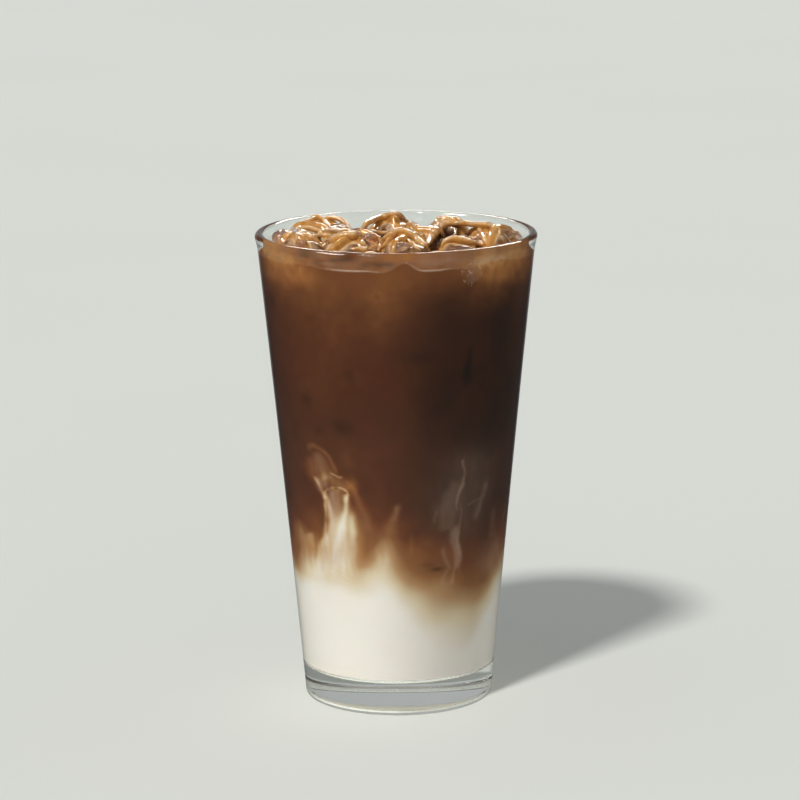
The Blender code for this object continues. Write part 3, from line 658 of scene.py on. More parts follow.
# Where that line shows as a bright edge: bearing, spread in degrees, strength.
BRIGHT_CONTACTS = (
    (251, 10, 0.95), (284, 9, 0.85), (120, 30, 0.35), (20, 30, 0.35),
)


def wall_point(bearing, z):
    return towards(bearing) * inner_radius(z) + Vector((0.0, 0.0, z))


def eased_points(points, count):
    """Points on a smooth curve through the given ones, as many as count."""
    line = [2 * points[0] - points[1], *points, 2 * points[-1] - points[-2]]
    spans = len(points) - 1
    eased = []
    for i in range(count):
        share = spans * i / (count - 1)
        k = min(int(share), spans - 1)
        t = share - k
        a, b, c, d = line[k:k + 4]
        eased.append(0.5 * (2 * b + (c - a) * t + (2 * a - 5 * b + 4 * c - d) * t * t
                            + (3 * b - a - 3 * c + d) * t ** 3))
    return eased


class Streak:
    """One streak of milk, ready to be asked how strongly it shows at a point."""

    def __init__(self, points, widths, strength, fade):
        path = [wall_point(bearing, height * MM) for bearing, height in points]
        self.path = eased_points(path, STREAK_SAMPLES)
        self.widths = eased_points([width * MM for width in widths], STREAK_SAMPLES)
        self.strength = strength
        self.fade = fade
        broad = max(widths)
        self.tail = 0.35 if broad > 6.0 else 0.12       # share over which its foot fades
        self.edge = 2.0 if broad > 2.4 else 2.6         # how crisp its sides are
        self.reach = 2.2 * max(self.widths)
        self.middle = sum(self.path, Vector()) / STREAK_SAMPLES
        self.span = max((point - self.middle).length for point in self.path) + self.reach
        self.nearest = nearest_of(self.path)

    def at(self, point):
        if (point - self.middle).length > self.span:
            return 0.0
        _, i, distance = self.nearest(point)
        if distance > self.reach:
            return 0.0
        share = i / (STREAK_SAMPLES - 1)
        ends = smooth_step(0.0, self.fade, share) * smooth_step(0.0, self.tail, 1.0 - share)
        grain = 0.90 + 0.25 * waver(Vector((point.x, point.y, point.z * 0.2)), 1.6)
        return self.strength * ends * grain * math.exp(-(distance / self.widths[i]) ** self.edge)


streaks = [Streak(*streak) for streak in STREAKS]
veils = [Streak(*veil) for veil in VEILS]


def gathered(strokes, point):
    """How strongly all of these streaks together show at a point, from 0 to 1."""
    left = 1.0
    for one in strokes:
        left *= 1.0 - min(1.0, one.at(point))
    return 1.0 - left


def cream_line(bearing, point):
    """Height of the milk's upper edge."""
    swell = swell_at(bearing, CREAM_SWELLS) * MM
    return CREAM_MEAN + swell + CREAM_RIPPLE * waver(point, 9.0)


def contact_line(bearing):
    """Height at which the drink's face meets the wall, drawn up in scallops."""
    wavy = noise.noise(towards(bearing) * 7.0)
    return LEVEL + (0.35 + 0.35 * wavy + swell_at(bearing, CONTACT_SWELLS)) * MM


def brew(point):
    """What the drink is at a point of the wall: milk, depth of dark with painted shade, amber and
    veil.
    """
    bearing = math.degrees(math.atan2(point.y, point.x)) % 360.0
    stirred = point + 0.7 * MM * waver(point, 5.0, noise.noise_vector)
    stirred += 0.2 * MM * waver(point, 1.8, noise.noise_vector)
    edge = cream_line(bearing, point) - stirred.z
    hazy = swell_at(bearing, HAZY_SIDES)
    soft = CREAM_SOFTNESS + HAZE_SOFTNESS * hazy
    milk = smooth_step(-soft, soft * 1.1, edge)
    milk = max(milk, 0.16 * between(MILKY_TAIL, edge) * (0.8 + 0.6 * waver(stirred, 6.0)))
    milk += (1.0 - milk) * gathered(streaks, stirred)
    above = between(COFFEE_STARTS, point.z)
    crown = between(CROWN, point.z)
    murk = waver(point, 17.0) + 0.5 * waver(point, 7.0)
    ragged = point.z + (5.0 * murk + 3.0 * waver(point, 10.0)) * MM
    light_top = between(LIGHT_TOP, ragged)
    # Painted shade on the coffee's sides, darkest away from the key light; partly coffee with less
    # milk.
    dark = swell_at(bearing, SHADED_SIDES) * above * (1.0 - 0.25 * crown)
    dark *= 1.0 - 0.92 * light_top
    dark += 0.17 * murk * above + 0.08 * above * (1.0 - light_top)
    dark += 0.15 * bell(point.z - DARK_BELT[0], DARK_BELT[1])
    # Painted shade on the milk's right side.
    dark += swell_at(bearing, PAINTED_MILK_SHADES) * (1.0 - above)
    milk += 0.045 * light_top * (1.0 + murk)
    veil = gathered(veils, stirred) + 0.014 * between(FAINT_VEIL, point.z)
    amber = 0.08 * crown + 0.05 * light_top + 0.06 * murk
    warm_edge = bell(edge + AMBER_EDGE, AMBER_EDGE) * (0.7 + 0.6 * murk)
    amber += 0.24 * warm_edge * (1.0 - 0.75 * hazy)
    for *patch, depth, warmth in CLOUDS:
        share = patch_share(point, bearing, *patch)
        dark += depth * share
        amber += warmth * share
    if point.z > LEVEL - RIM_DEPTH:
        over = point.z - contact_line(bearing)
        foam = between(FOAM_EDGE, over)
        smear = waver(Vector((point.x, point.y, point.z * 3.0)), 4.0)
        line = swell_at(bearing, BRIGHT_CONTACTS) * bell(over, CONTACT_WIDTH)
        milk += foam * (0.15 + 0.10 * smear)
        veil = max(veil, line, foam * (0.06 + 0.08 * smear))
        dark *= 1.0 - 0.80 * foam
        dark += 0.20 * foam * smooth_step(0.1, 0.5, smear)
        for *patch, warmth, milky in RIM_PATCHES:
            share = patch_share(point, bearing, *patch)
            amber += warmth * share
            milk += milky * share
            veil *= 1.0 - 0.8 * min(1.0, share)
        for *patch, depth in RIM_BLOTCHES:
            share = foam * patch_share(point, bearing, *patch)
            dark += max(0.0, depth) * share
            veil += max(0.0, -depth) * share
    return Vector((milk, clamped(dark), clamped(amber))), clamped(veil)


def patch_share(point, bearing, middle, height, wide, tall):
    """How far a point of the wall lies in a soft patch, from 0 to about 1."""
    rise = (point.z - height * MM) / (tall * MM)
    if abs(rise) > 2.5:
        return 0.0
    across = math.radians(turn_between(bearing, middle)) * inner_radius(point.z)
    share = bell(math.hypot(across / (wide * MM), rise), 1.0)
    return share * (1.0 + 0.6 * waver(point, 3.0))


def brew_on_top(point):
    """The same for the drink's open face, where caramel and foam float in swirls."""
    swirl = point + 3.0 * MM * waver(point, 8.0, noise.noise_vector)
    foam = waver(swirl, 3.5)
    pool = noise.noise(swirl / (6.0 * MM) + Vector((3.0, 5.0, 7.0)))
    milk = 0.20 + 0.22 * smooth_step(-0.1, 0.5, foam)
    dark = 0.10 + 0.35 * smooth_step(0.0, -0.6, foam)
    return Vector((milk, dark, 0.25 + 0.55 * smooth_step(-0.2, 0.5, pool))), 0.0


def brewed(mesh):
    """Keeps what the drink is at each point of a mesh, for its finish to read."""
    brews, veils_there = [], []
    for vertex in mesh.vertices:
        point = vertex.co
        open_face = point.z > LEVEL - 1.0 * MM and (
            point.xy.length < inner_radius(point.z) - FILM_THICKNESS)
        value, share = brew_on_top(point) if open_face else brew(point)
        brews.extend(value)
        veils_there.append(share)
    mesh.attributes.new("brew", "FLOAT_VECTOR", "POINT").data.foreach_set("vector", brews)
    mesh.attributes.new("veil", "FLOAT", "POINT").data.foreach_set("value", veils_there)


def drink_finish():
    """Milk, latte and coffee in one finish, told apart by the mesh's brew."""
    finish = Finish("layered_drink", Roughness=0.32, Specular_IOR_Level=0.15, IOR=1.34,
                    Subsurface_Weight=0.12, Subsurface_Radius=SCATTER,
                    Subsurface_Scale=1.5 * MM)
    milk, dark, amber = finish.split(finish.attribute("brew", "Vector"))
    colour = finish.ramp(milk, (0.0, COFFEE), (0.14, TOFFEE), (0.34, LATTE), (0.56, OCHRE),
                         (0.80, CREAM), (1.0, MILK))
    colour = finish.mix(amber, colour, AMBER)
    # Dark mixes in dark coffee: darker coffee, and the painted shade on the drink's sides.
    colour = finish.mix(dark, colour, DARK_COFFEE_AND_SHADE)
    colour = finish.mix(finish.attribute("veil"), colour, VEIL)
    haze = finish.noise(11.0 * MM, detail=4.0, rough=0.55, warp=0.6)
    shade = finish.ramp(haze, (0.30, 0.90), (0.70, 1.08))
    shade = finish.mix(finish.ramp(milk, (0.30, 0.0), (0.80, 1.0)), shade, WHITE)
    finish.to_shader("Base Color", finish.mix(1.0, colour, shade, "MULTIPLY"))
    return finish.material


# ---------------------------------------------------------------- liquid layers
def floor_height(x, y):
    corner_base = FLOOR + FLOOR_ROUND
    flat_radius = inner_radius(corner_base) - FLOOR_ROUND
    reach = max(0.0, math.hypot(x, y) - flat_radius)
    radius = FLOOR_ROUND + REACH_INTO_WALL
    return corner_base - math.sqrt(max(0.0, radius * radius - reach * reach))


def plume_rise(x, y):
    spot = Vector((x, y, 0.0))
    return sum(height * bell((spot - towards(bearing) * distance).length, radius)
               for bearing, distance, height, radius in MILK_PLUMES)


def milk_height(x, y):
    ripple = MILK_RIPPLE * noise.noise(Vector((x, y, 0.0)) / MILK_RIPPLE_SPAN)
    return MILK_TOP + ripple + plume_rise(x, y)


def latte_height(x, y):
    ripple = LATTE_RIPPLE * noise.noise(Vector((y, x, 0.0)) / LATTE_RIPPLE_SPAN)
    return max(LATTE_TOP + ripple, milk_height(x, y) + LATTE_LEAST)


def layer(node, low, high, rises, rings, finish):
    """A liquid layer between two faces, (mean height, height at (x, y)), out to the wall.

    rises are the heights of its rows of points as shares of its depth, from 0 to 1, and
    rings the number of rings on its lower and upper face.
    """
    low_rings, high_rings = rings
    profile = [(i / high_rings, 1.0) for i in range(high_rings)]
    profile += [(1.0, rise) for rise in reversed(rises)]
    profile += [(i / low_rings, 0.0) for i in reversed(range(low_rings))]
    work = turned(profile, DRINK_STEPS)
    (low_mean, low_face), (high_mean, high_face) = low, high
    for vertex in work.verts:
        x, y, share = vertex.co
        bore = inner_radius(low_mean + (high_mean - low_mean) * share) + REACH_INTO_WALL
        at_wall = math.hypot(x, y) > 0.999
        for _ in range(WALL_FITS if at_wall else 1):
            bottom = low_face(x * bore, y * bore)
            z = bottom + (high_face(x * bore, y * bore) - bottom) * share
            if at_wall:
                bore = inner_radius(z) + REACH_INTO_WALL
        vertex.co = (x * bore, y * bore, z)
    brewed(dressed(node + "_layer", faced_out(work), finish, node).data)


def even_rises(count):
    return [i / count for i in range(count + 1)]


def film_top(bearing):
    """How high foam and caramel cling to the wall: nearly to the rim in front."""
    around = towards(bearing)
    front = smooth_step(0.06, 0.44, -around.y)
    ragged = noise.noise(around * 5.0) + 0.6 * noise.noise(around * 16.0)
    return FILM_BACK_TOP + (FILM_FRONT_TOP - FILM_BACK_TOP) * front + FILM_RAGGEDNESS * ragged


def wall_film(finish):
    """Foam and caramel clinging to the wall from just under the level upwards."""
    outer = [(3.0, rise) for rise in even_rises(FILM_RISES)]
    profile = outer + [(2.0, rise) for _, rise in reversed(outer)]
    work = turned(profile + profile[:1], DRINK_STEPS)
    foot = LEVEL - FILM_DEPTH
    for vertex in work.verts:
        x, y, rise = vertex.co
        radius = math.hypot(x, y)
        z = foot + (film_top(math.degrees(math.atan2(y, x))) - foot) * rise
        thin = 1.0 - 0.85 * rise ** 3
        reach = inner_radius(z) + REACH_INTO_WALL * (1.0 - 0.9 * rise ** 6)
        bore = reach - (3.0 - radius) * (REACH_INTO_WALL + FILM_THICKNESS * thin)
        vertex.co = (x / radius * bore, y / radius * bore, z)
    brewed(dressed("wall_film", faced_out(work), finish).data)


# ---------------------------------------------------------------- ice and drizzle
def ice_block(spec):
    """An uneven rounded block of the lump's size, its highest point at its top."""
    _, centre, top, size, tilt, _ = spec
    half = Vector(size) * MM / 2
    work = bmesh.new()
    bmesh.ops.create_cube(work, size=2.0)
    bmesh.ops.subdivide_edges(work, edges=work.edges[:], cuts=ICE_FINE_CUTS,
                              use_grid_fill=True)
    turn = Euler([math.radians(a) for a in tilt]).to_matrix()
    seed = Vector((centre[0], centre[1], top))
    for vertex in work.verts:
        point = Vector(vertex.co[i] * half[i] for i in range(3))
        core = Vector(max(-half[i] + ICE_EDGE_ROUND, min(half[i] - ICE_EDGE_ROUND, point[i]))
                      for i in range(3))
        outward = (point - core).normalized()
        dent = noise.noise(outward + core / ICE_DENT_SPAN + seed)
        vertex.co = turn @ (core + outward * (ICE_EDGE_ROUND + ICE_UNEVENNESS * dent))
    highest = max(vertex.co.z for vertex in work.verts)
    shift = Vector((centre[0] * MM, centre[1] * MM, top * MM - highest))
    bmesh.ops.translate(work, verts=work.verts[:], vec=shift)
    return to_mesh(work, spec[0] + "_block")


def drape_path(tree, centre, bearing, offset, bow):
    """A strand's path over the ice along its bearing, with a leg down at each end."""
    along = towards(bearing)
    left = Vector((-along.y, along.x, 0.0))
    middle = Vector((centre[0] * MM, centre[1] * MM, HEIGHT * 1.2))
    touched = []
    for i in range(-DRAPE_RAYS, DRAPE_RAYS + 1):
        share = i / DRAPE_RAYS
        spot = middle + along * (share * DRAPE_REACH)
        spot += left * (offset + bow * (1.0 - share * share)) * MM
        hit = tree.ray_cast(spot, Vector((0.0, 0.0, -1.0)))[0]
        if hit:
            touched.append(hit)
    last = len(touched) - 1
    count = STRAND_CREST_POINTS
    crest = [touched[round(last * i / (count - 1))].copy() for i in range(count)]
    lift = STRAND_RADIUS * (1.0 - STRAND_SINK)
    for point in crest:
        point.z += lift
    for _ in range(STRAND_EASINGS):
        heights = [point.z for point in crest]
        for i in range(1, count - 1):
            crest[i].z = (heights[i - 1] + heights[i] + heights[i + 1]) / 3
    legs = []
    for edge, outward in ((crest[0], -along), (crest[-1], along)):
        knee = edge + outward * LEG_SPREAD / 2
        knee.z -= STRAND_RADIUS
        foot = edge + outward * LEG_SPREAD
        foot.z = LEVEL - LEG_DEPTH
        legs.append([knee, foot])
    return legs[0][::-1] + crest[1:-1] + legs[1]


def tube(path, radii):
    """A round tube along a path, with a radius for each of its points."""
    curve = bpy.data.curves.new("tube", "CURVE")
    curve.dimensions = "3D"
    curve.bevel_depth = 1.0
    curve.bevel_resolution = 3
    curve.use_fill_caps = True
    spline = curve.splines.new("POLY")
    spline.points.add(len(path) - 1)
    for point, place, radius in zip(spline.points, path, radii):
        point.co = (*place, 1.0)
        point.radius = radius
    return settled_mesh(new_piece("tube", curve))


def uneven_radii(count, radius, thickness, seed):
    """As many radii along a strand, thinner at its ends and uneven on the way."""
    thin, end_share, swell, often = thickness
    radii = []
    for i in range(count):
        share = i / (count - 1)
        ends = thin + (1.0 - thin) * smooth_step(0.0, end_share, min(share, 1.0 - share))
        swollen = 1.0 + swell * noise.noise(Vector((share * often, seed, 0.5)))
        radii.append(radius * ends * swollen)
    return radii


def melted(name, meshes, voxel):
    """One closed skin round several closed meshes, with its creases eased.

    Gives its bmesh, and the layers where its finish reads how much drizzle and painted hollow shade
    it has.
    """
    work = bmesh.new()
    for mesh in meshes:
        work.from_mesh(mesh)
    bmesh.ops.remove_doubles(work, verts=work.verts[:], dist=MERGE_DISTANCE)
    source = new_piece(name + "_source", to_mesh(work, name + "_source"))
    skin = source.modifiers.new("skin", "REMESH")
    skin.mode = "VOXEL"
    skin.voxel_size = voxel
    work = bmesh.new()
    work.from_mesh(settled_mesh(source))
    for _ in range(SKIN_SMOOTHINGS):
        bmesh.ops.smooth_vert(work, verts=work.verts[:], factor=0.5, use_axis_x=True,
                              use_axis_y=True, use_axis_z=True)
    drizzle = work.verts.layers.float.new("drizzle")
    hollow = work.verts.layers.float.new("hollow")
    work.normal_update()
    return work, drizzle, hollow


def hollow_at(point):
    """How far a hollow of the ice dents it at a point, and how dark its painted shade is there."""
    dent, shade = 0.0, 0.0
    for place, radius, depth, darkness in HOLLOWS:
        away = (point - Vector(place) * MM).length / (radius * MM)
        if away < 2.0:
            dent += depth * MM * (math.exp(-away ** 3) - 0.35 * bell(away - 1.15, 0.22))
            shade = max(shade, darkness * math.exp(-(away * 1.15) ** 4))
    return dent, shade


def glazed_lump(spec, finish):
    """A lump of ice with its strands of drizzle melted on."""
    name, centre, _, _, _, strands = spec
    block = ice_block(spec)
    tree = BVHTree.FromPolygons([v.co for v in block.vertices],
                                [p.vertices for p in block.polygons])
    meshes = [block]
    lines = []
    for i, strand in enumerate(strands):
        path = eased_points(drape_path(tree, centre, *strand), STRAND_POINTS)
        radii = uneven_radii(len(path), STRAND_RADIUS, STRAND_THICKNESS, centre[0] + i)
        meshes.append(tube(path, radii))
        lines += list(zip(path, radii))
    work, drizzle, hollow = melted(name, meshes, ICE_VOXEL)
    nearest = nearest_of([point for point, _ in lines])
    for vertex in work.verts:
        _, i, distance = nearest(vertex.co)
        away = distance / lines[i][1]
        share = 1.0 - smooth_step(0.95, 1.9, away)
        dent, vertex[hollow] = hollow_at(vertex.co)
        run = 0.5 + 0.8 * waver(vertex.co, 2.6) + 0.35 * vertex.normal.z
        share = max(share, 0.45 * run * smooth_step(4.2, 1.4, away))
        vertex[drizzle] = clamped(share)
        rough = waver(vertex.co, 1.5) + 0.5 * waver(vertex.co, 0.8)
        vertex.co += vertex.normal * ((1.0 - share) * ICE_ROUGHNESS * rough - dent)
    return dressed(name + "_glazed", work, finish, name)


def caramel_ice_finish():
    """Ice where the mesh has no drizzle, glossy caramel where it has, and painted shade in the
    hollows.
    """
    finish = Finish("caramel_ice_glazed", IOR=1.38, Specular_IOR_Level=0.5,
                    Subsurface_Weight=0.20, Subsurface_Radius=(1.0, 0.6, 0.3),
                    Subsurface_Scale=1.0 * MM, Coat_Roughness=0.03)
    drizzle = finish.attribute("drizzle")
    fine = finish.noise(2.2 * MM, detail=5.0, rough=0.6, warp=0.8)
    cracks = finish.ramp(finish.cells(2.6 * MM), (0.0, 0.5), (0.10, 0.0))
    ice = finish.mix(cracks, BARE_ICE, PALE_CRACKS)
    ice = finish.mix(finish.ramp(fine, (0.44, 0.0), (0.64, 0.80)), ice, CLOUDY_ICE)
    # Thin caramel is pale; on the threads the paler tops are a painted sheen.
    caramel = finish.ramp(drizzle, (0.36, PALE_CARAMEL), (0.72, GOLDEN), (1.0, GOLDEN))
    depth = finish.ramp(finish.noise(3.4 * MM, detail=2.0), (0.42, 0.0), (0.72, 0.55))
    caramel = finish.mix(depth, caramel, DEEP_CARAMEL)
    pale = finish.ramp(finish.noise(4.6 * MM, detail=2.0, warp=0.4), (0.48, 0.0), (0.66, 0.22))
    caramel = finish.mix(pale, caramel, PALE_CARAMEL)
    cover = finish.ramp(drizzle, (0.12, 0.0), (0.40, 1.0))
    colour = finish.mix(cover, ice, caramel)
    # The hollows are painted dark: painted shade.
    finish.to_shader("Base Color", finish.mix(finish.attribute("hollow"), colour, HOLLOW_SHADE_BROWN))
    finish.vary("Transmission Weight", drizzle, (0.12, 0.45), (0.45, 0.10))
    finish.vary("Roughness", drizzle, (0.1, 0.16), (0.5, 0.08))
    finish.vary("Coat Weight", drizzle, (0.15, 0.15), (0.50, 0.90))
    finish.bump(finish.mix(cover, finish.mix(0.35, fine, cracks), FLAT), 0.16 * MM, 0.7)
    return finish.material


def caramel_sheet(first, second, span):
    """A thin sheet of caramel between a thread and a span of another, sagging a little."""
    work = bmesh.new()
    rows = []
    for i in range(SHEET_STEPS):
        share = i / (SHEET_STEPS - 1)
        start = first[round(share * (len(first) - 1))]
        end = second[round((span[0] + (span[1] - span[0]) * share) * (len(second) - 1))]
        row = []
        for k in range(SHEET_WIDTH_STEPS):
            across = k / (SHEET_WIDTH_STEPS - 1)
            sag = Vector((0.0, 0.0, SHEET_SAG * math.sin(math.pi * across)))
            row.append(work.verts.new(start.lerp(end, across) - sag))
        rows.append(row)
    for row, following in zip(rows, rows[1:]):
        for k in range(SHEET_WIDTH_STEPS - 1):
            work.faces.new((row[k], row[k + 1], following[k + 1], following[k]))
    bmesh.ops.solidify(work, geom=work.faces[:], thickness=SHEET_THICKNESS)
    return to_mesh(faced_out(work), "sheet")


def evenly_spaced(path, step):
    """Points along the same line, one at each step of its length."""
    places = [path[0]]
    left = step
    for start, end in zip(path, path[1:]):
        run = (end - start).length
        while run >= left:
            start = start.lerp(end, left / run)
            run -= left
            left = step
            places.append(start)
        left -= run
    return places


def drizzle_threads(finish):
    """Threads of caramel laid over the lumps and from lump to lump, melted together."""
    meshes = []
    paths = []
    lines = []
    for i, (thick, points) in enumerate(THREADS):
        eased = eased_points([Vector(point) * MM for point in points], THREAD_SAMPLES)
        path = evenly_spaced(eased, THREAD_STEP)
        radii = uneven_radii(len(path), thick * MM, THREAD_THICKNESS, i * 3.7)
        meshes.append(tube(path, radii))
        paths.append(eased)
        lines += list(zip(path, radii))
    for first, second, *span in SHEETS:
        meshes.append(caramel_sheet(paths[first], paths[second], span))
    nearest = nearest_of([point for point, _ in lines])
    work, drizzle, _ = melted("drizzle_threads", meshes, THREAD_VOXEL)
    for vertex in work.verts:
        _, i, distance = nearest(vertex.co)
        # Tops of the threads stay paler than their undersides and the sheets: a painted sheen on
        # the crests.
        sheet = smooth_step(1.1, 1.9, distance / lines[i][1])
        out_of_painted_sheen = smooth_step(0.5, -0.3, vertex.normal.z)
        vertex[drizzle] = min(1.0, 0.55 + 0.20 * waver(vertex.co, 3.0) + 0.40 * max(sheet, out_of_painted_sheen))
    dressed("drizzle_threads", work, finish)


# ---------------------------------------------------------------- glass
def make_glass():
    finish = Finish("clear_glass_polished", IOR=1.5, Transmission_Weight=1.0, Roughness=0.0,
                    Specular_IOR_Level=0.5)
    finish.vary("Base Color", finish.noise(60.0 * MM, detail=1.0),
                (0.3, srgb(244, 249, 246)), (0.7, srgb(247, 250, 248)))
    work = turned(glass_profile(), GLASS_STEPS)
    piece = dressed("glass_turned", work, finish.material, "glass")
    piece.visible_shadow = False
    piece.visible_diffuse = False


def make_lumps():
    finish = caramel_ice_finish()
    drizzle_threads(finish)
    return [glazed_lump(spec, finish) for spec in ICE_LUMPS]


def make_clear_bits():
    """Small clear drops and chips of ice that sit among the lumps."""
    finish = Finish("clear_ice_bits", IOR=1.33, Transmission_Weight=0.85)
    haze = finish.noise(1.6 * MM, detail=4.0, warp=0.6)
    finish.vary("Base Color", haze, (0.40, srgb(236, 220, 204)), (0.62, srgb(196, 160, 130)))
    finish.vary("Roughness", haze, (0.4, 0.02), (0.6, 0.18))
    finish.bump(haze, 0.10 * MM, 0.5)
    joined = bmesh.new()
    for place, size in CLEAR_BITS:
        bit = bmesh.new()
        bmesh.ops.create_icosphere(bit, subdivisions=4, radius=1.0)
        for vertex in bit.verts:
            dent = 1.0 + 0.14 * noise.noise(vertex.co * 1.6 + Vector(place))
            shape = Vector(vertex.co[i] * size[i] for i in range(3))
            vertex.co = (Vector(place) + shape * dent) * MM
        mesh = to_mesh(bit, "bit")
        joined.from_mesh(mesh)
        bpy.data.meshes.remove(mesh)
    dressed("ice_clear_bits", joined, finish.material)


def make_specks():
    """Tiny bubbles of foam that cling to the wall at the drink's edge."""
    draw = random.Random(SPECK_SEED)
    finish = Finish("foam_specks", Roughness=0.15, Specular_IOR_Level=0.8)
    finish.vary("Base Color", finish.noise(3.0 * MM), (0.35, srgb(188, 158, 128)),
                (0.6, srgb(232, 214, 192)))
    spots = []
    for bearing, height, ring, spread, count, largest in SPECK_GROUPS:
        for _ in range(count):
            turn = draw.uniform(0.0, math.tau)
            away = ring + draw.gauss(0.0, spread)
            spots.append((bearing, height, away * math.cos(turn), away * math.sin(turn), largest))
    for _ in range(EDGE_SPECKS):
        bearing = draw.choice((draw.gauss(251, 9), draw.gauss(286, 8), draw.uniform(0, 360)))
        height = contact_line(bearing) / MM + draw.gauss(0.0, 0.12)
        spots.append((bearing, height, 0.0, 0.0, EDGE_SPECK_RADIUS))
    joined = bmesh.new()
    for bearing, height, across, rise, largest in spots:
        z = (height + rise) * MM
        turn = math.degrees(across * MM / inner_radius(z))
        place = towards(bearing + turn) * (inner_radius(z) + REACH_INTO_WALL)
        place.z = z
        bmesh.ops.create_icosphere(joined, subdivisions=1, matrix=Matrix.Translation(place),
                                   radius=draw.uniform(0.4, 1.0) * largest * MM)
    dressed("foam_specks", joined, finish.material)


def joined_tree(objects):
    points, faces = [], []
    for obj in objects:
        start = len(points)
        points += [vertex.co.copy() for vertex in obj.data.vertices]
        faces += [[start + i for i in polygon.vertices] for polygon in obj.data.polygons]
    return BVHTree.FromPolygons(points, faces)


def surface_over(tree):
    """The drink's top: level, drawn up a little where it meets ice and glass."""
    def height(x, y):
        away = tree.find_nearest(Vector((x, y, LEVEL)))[3]
        wall = max(0.0, inner_radius(LEVEL) - math.hypot(x, y))
        rise = max(bell(away, MENISCUS_SPAN), bell(wall, MENISCUS_SPAN))
        ripple = SURFACE_RIPPLE * waver(Vector((x, y, 0.0)), SURFACE_RIPPLE_SPAN)
        return LEVEL + MENISCUS_RISE * rise + ripple
    return height


def make_drink(tree):
    """The film on the wall, and the three layers one on the other."""
    finish = drink_finish()
    wall_film(finish)
    milk_face = (MILK_TOP, milk_height)
    latte_face = (LATTE_TOP, latte_height)
    surface = (LEVEL, surface_over(tree))
    fine = [rise * FINE_SHARE for rise in even_rises(FINE_RISES)[:-1]]
    coarse = [FINE_SHARE + rise * (1.0 - FINE_SHARE) for rise in even_rises(COARSE_RISES)]
    layer("milk", (FLOOR, floor_height), milk_face, even_rises(44), (12, 4), finish)
    layer("latte", milk_face, latte_face, even_rises(36), (4, 4), finish)
    layer("coffee", latte_face, surface, fine + coarse, (4, 36), finish)


# ---------------------------------------------------------------- stage
FLOOR_HALF_SIZE = 6.0
# Strength of the painted glow on the floor under the glass foot.
PAINTED_FOOT_GLOW = 0.38
SKY_STRENGTH = 0.45
SKY_COLOUR = (0.97, 0.99, 1.0, 1.0)
# The mirrored sky: how far back one looks, from 0 to 1, and its strength there.
MIRRORED_SKY = ((0.90, 0.04), (1.0, 0.75 * SKY_STRENGTH))
KEY_STRENGTH = 2.3
KEY_SPREAD = 7.0
KEY_DISTANCE = 2.0
KEY_COLOUR = (1.0, 0.985, 0.96)
KEY_AZIMUTH = 30.0              # degrees to the left of the camera's side
KEY_ELEVATION = 50.0
GLOSS_COLOUR = (1.0, 0.94, 0.85)
GLOSS_AIM = (0.0, 0.0, 0.14)
# Soft boxes: name, place, size and power.
GLOSS_BOXES = (
    ("gloss_left", (-0.55, -0.25, 0.75), (0.30, 0.16), 6.0),
    ("gloss_back", (0.10, 0.70, 0.60), (0.60, 0.12), 4.0),
)
CAMERA_DISTANCE = 1108.6 * MM
CAMERA_ELEVATION = 11.8438
CAMERA_AIM = Vector((0.920 * MM, 0.0, 95.578 * MM))
CAMERA_ROLL = -0.3539
CAMERA_LENS = 157.07            # mm, as is the sensor
CAMERA_SENSOR = 36.0


def make_floor():
    """A plain pale floor, with a painted glow under the glass foot in place of the light it gathers
    there.
    """
    work = bmesh.new()
    bmesh.ops.create_grid(work, x_segments=8, y_segments=8, size=FLOOR_HALF_SIZE)
    finish = Finish("pale_floor", Roughness=0.9, Specular_IOR_Level=0.0,
                    Emission_Color=srgb(226, 232, 226))
    finish.vary("Base Color", finish.noise(0.4, detail=2.0), (0.3, srgb(214, 216, 211)),
                (0.7, srgb(216, 218, 213)))
    # A painted glow under the foot, fading out towards the foot's edge.
    away = finish.add("ShaderNodeVectorMath", {0: finish.place}, operation="LENGTH")
    glow = finish.eased(away.outputs["Value"], (FOOT_RADIUS - 6.0 * MM, PAINTED_FOOT_GLOW),
                        (FOOT_RADIUS - 0.5 * MM, 0.0))
    finish.to_shader("Emission Strength", glow)
    floor = new_piece("floor", to_mesh(work, "floor"), finish.material)
    floor.visible_glossy = False


def make_world():
    """Soft light from all round, which polished faces mirror only faintly."""
    world = bpy.data.worlds.new("soft_studio")
    bpy.context.scene.world = world
    nodes = Nodes(world)
    sky = nodes.tree.nodes["Background"]
    nodes.feed(sky.inputs["Color"], SKY_COLOUR)
    nodes.feed(sky.inputs["Strength"], SKY_STRENGTH)
    direction = nodes.add("ShaderNodeTexCoord").outputs["Generated"]
    strength = nodes.eased(nodes.split(direction)["Y"], *MIRRORED_SKY)
    dim = nodes.add("ShaderNodeBackground", {"Color": SKY_COLOUR, "Strength": strength})
    ray = nodes.add("ShaderNodeLightPath").outputs
    mirrored = nodes.add("ShaderNodeMath", {0: ray["Is Glossy Ray"], 1: ray["Is Transmission Ray"]},
                         operation="SUBTRACT", use_clamp=True).outputs[0]
    choice = nodes.add("ShaderNodeMixShader",
                       {0: mirrored, 1: sky.outputs[0], 2: dim.outputs[0]})
    nodes.feed(nodes.tree.nodes["World Output"].inputs["Surface"], choice.outputs[0])


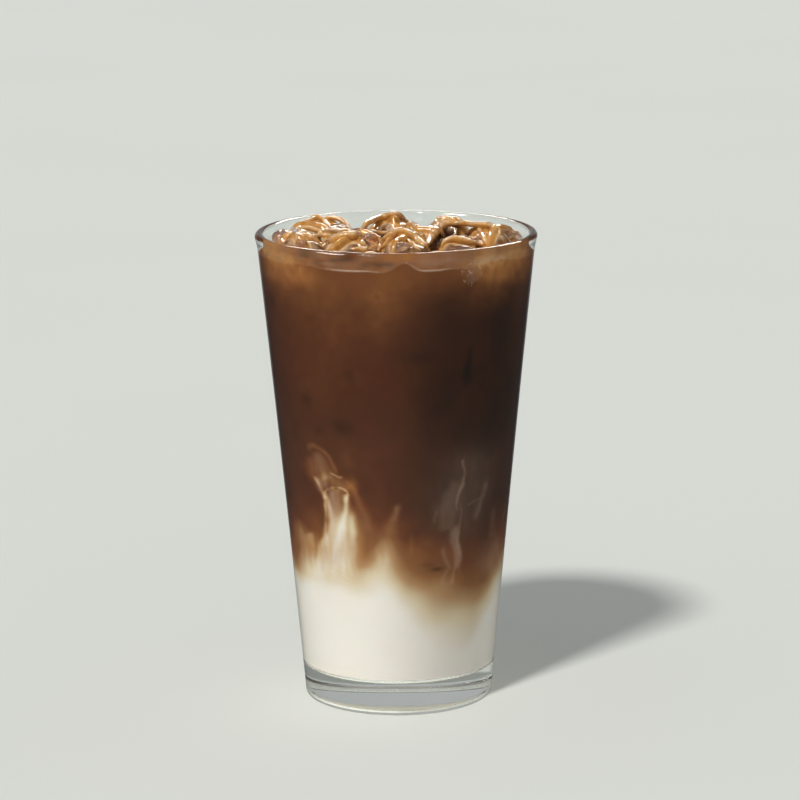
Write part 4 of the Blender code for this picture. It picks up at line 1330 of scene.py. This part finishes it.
def add_lamp(name, lamp, place, aim):
    obj = bpy.data.objects.new(name, lamp)
    obj.location = place
    obj.rotation_euler = (Vector(aim) - Vector(place)).to_track_quat("-Z", "Y").to_euler()
    bpy.context.scene.collection.objects.link(obj)
    return obj


def make_lights():
    """A broad distant key from the front left, and soft boxes that only show as gloss."""
    key = bpy.data.lights.new("key", "SUN")
    key.energy = KEY_STRENGTH
    key.angle = math.radians(KEY_SPREAD)
    key.color = KEY_COLOUR
    azimuth, elevation = math.radians(KEY_AZIMUTH), math.radians(KEY_ELEVATION)
    place = Vector((-math.sin(azimuth) * math.cos(elevation),
                    -math.cos(azimuth) * math.cos(elevation), math.sin(elevation)))
    add_lamp("key", key, place * KEY_DISTANCE, (0.0, 0.0, 0.0))
    for name, place, size, power in GLOSS_BOXES:
        box = bpy.data.lights.new(name, "AREA")
        box.shape = "RECTANGLE"
        box.size, box.size_y = size
        box.energy = power
        box.color = GLOSS_COLOUR
        lamp = add_lamp(name, box, place, GLOSS_AIM)
        lamp.visible_diffuse = False
        lamp.visible_camera = False
        lamp.visible_transmission = False


def make_camera():
    elevation, roll = math.radians(CAMERA_ELEVATION), math.radians(CAMERA_ROLL)
    back = Vector((0.0, -math.cos(elevation), math.sin(elevation)))
    right = Vector((1.0, 0.0, 0.0))
    up = back.cross(right)
    across = right * math.cos(roll) + up * math.sin(roll)
    upright = up * math.cos(roll) - right * math.sin(roll)
    data = bpy.data.cameras.new("camera")
    data.sensor_width = CAMERA_SENSOR
    data.lens = CAMERA_LENS
    camera = bpy.data.objects.new("camera", data)
    bpy.context.scene.collection.objects.link(camera)
    turn = Matrix((across, upright, back)).transposed().to_4x4()
    camera.matrix_world = Matrix.Translation(CAMERA_AIM + back * CAMERA_DISTANCE) @ turn
    bpy.context.scene.camera = camera


bpy.context.scene.view_settings.view_transform = "Standard"
make_camera()
make_world()
make_lights()
make_floor()
make_glass()
iced_lumps = make_lumps()
make_clear_bits()
make_drink(joined_tree(iced_lumps))
make_specks()
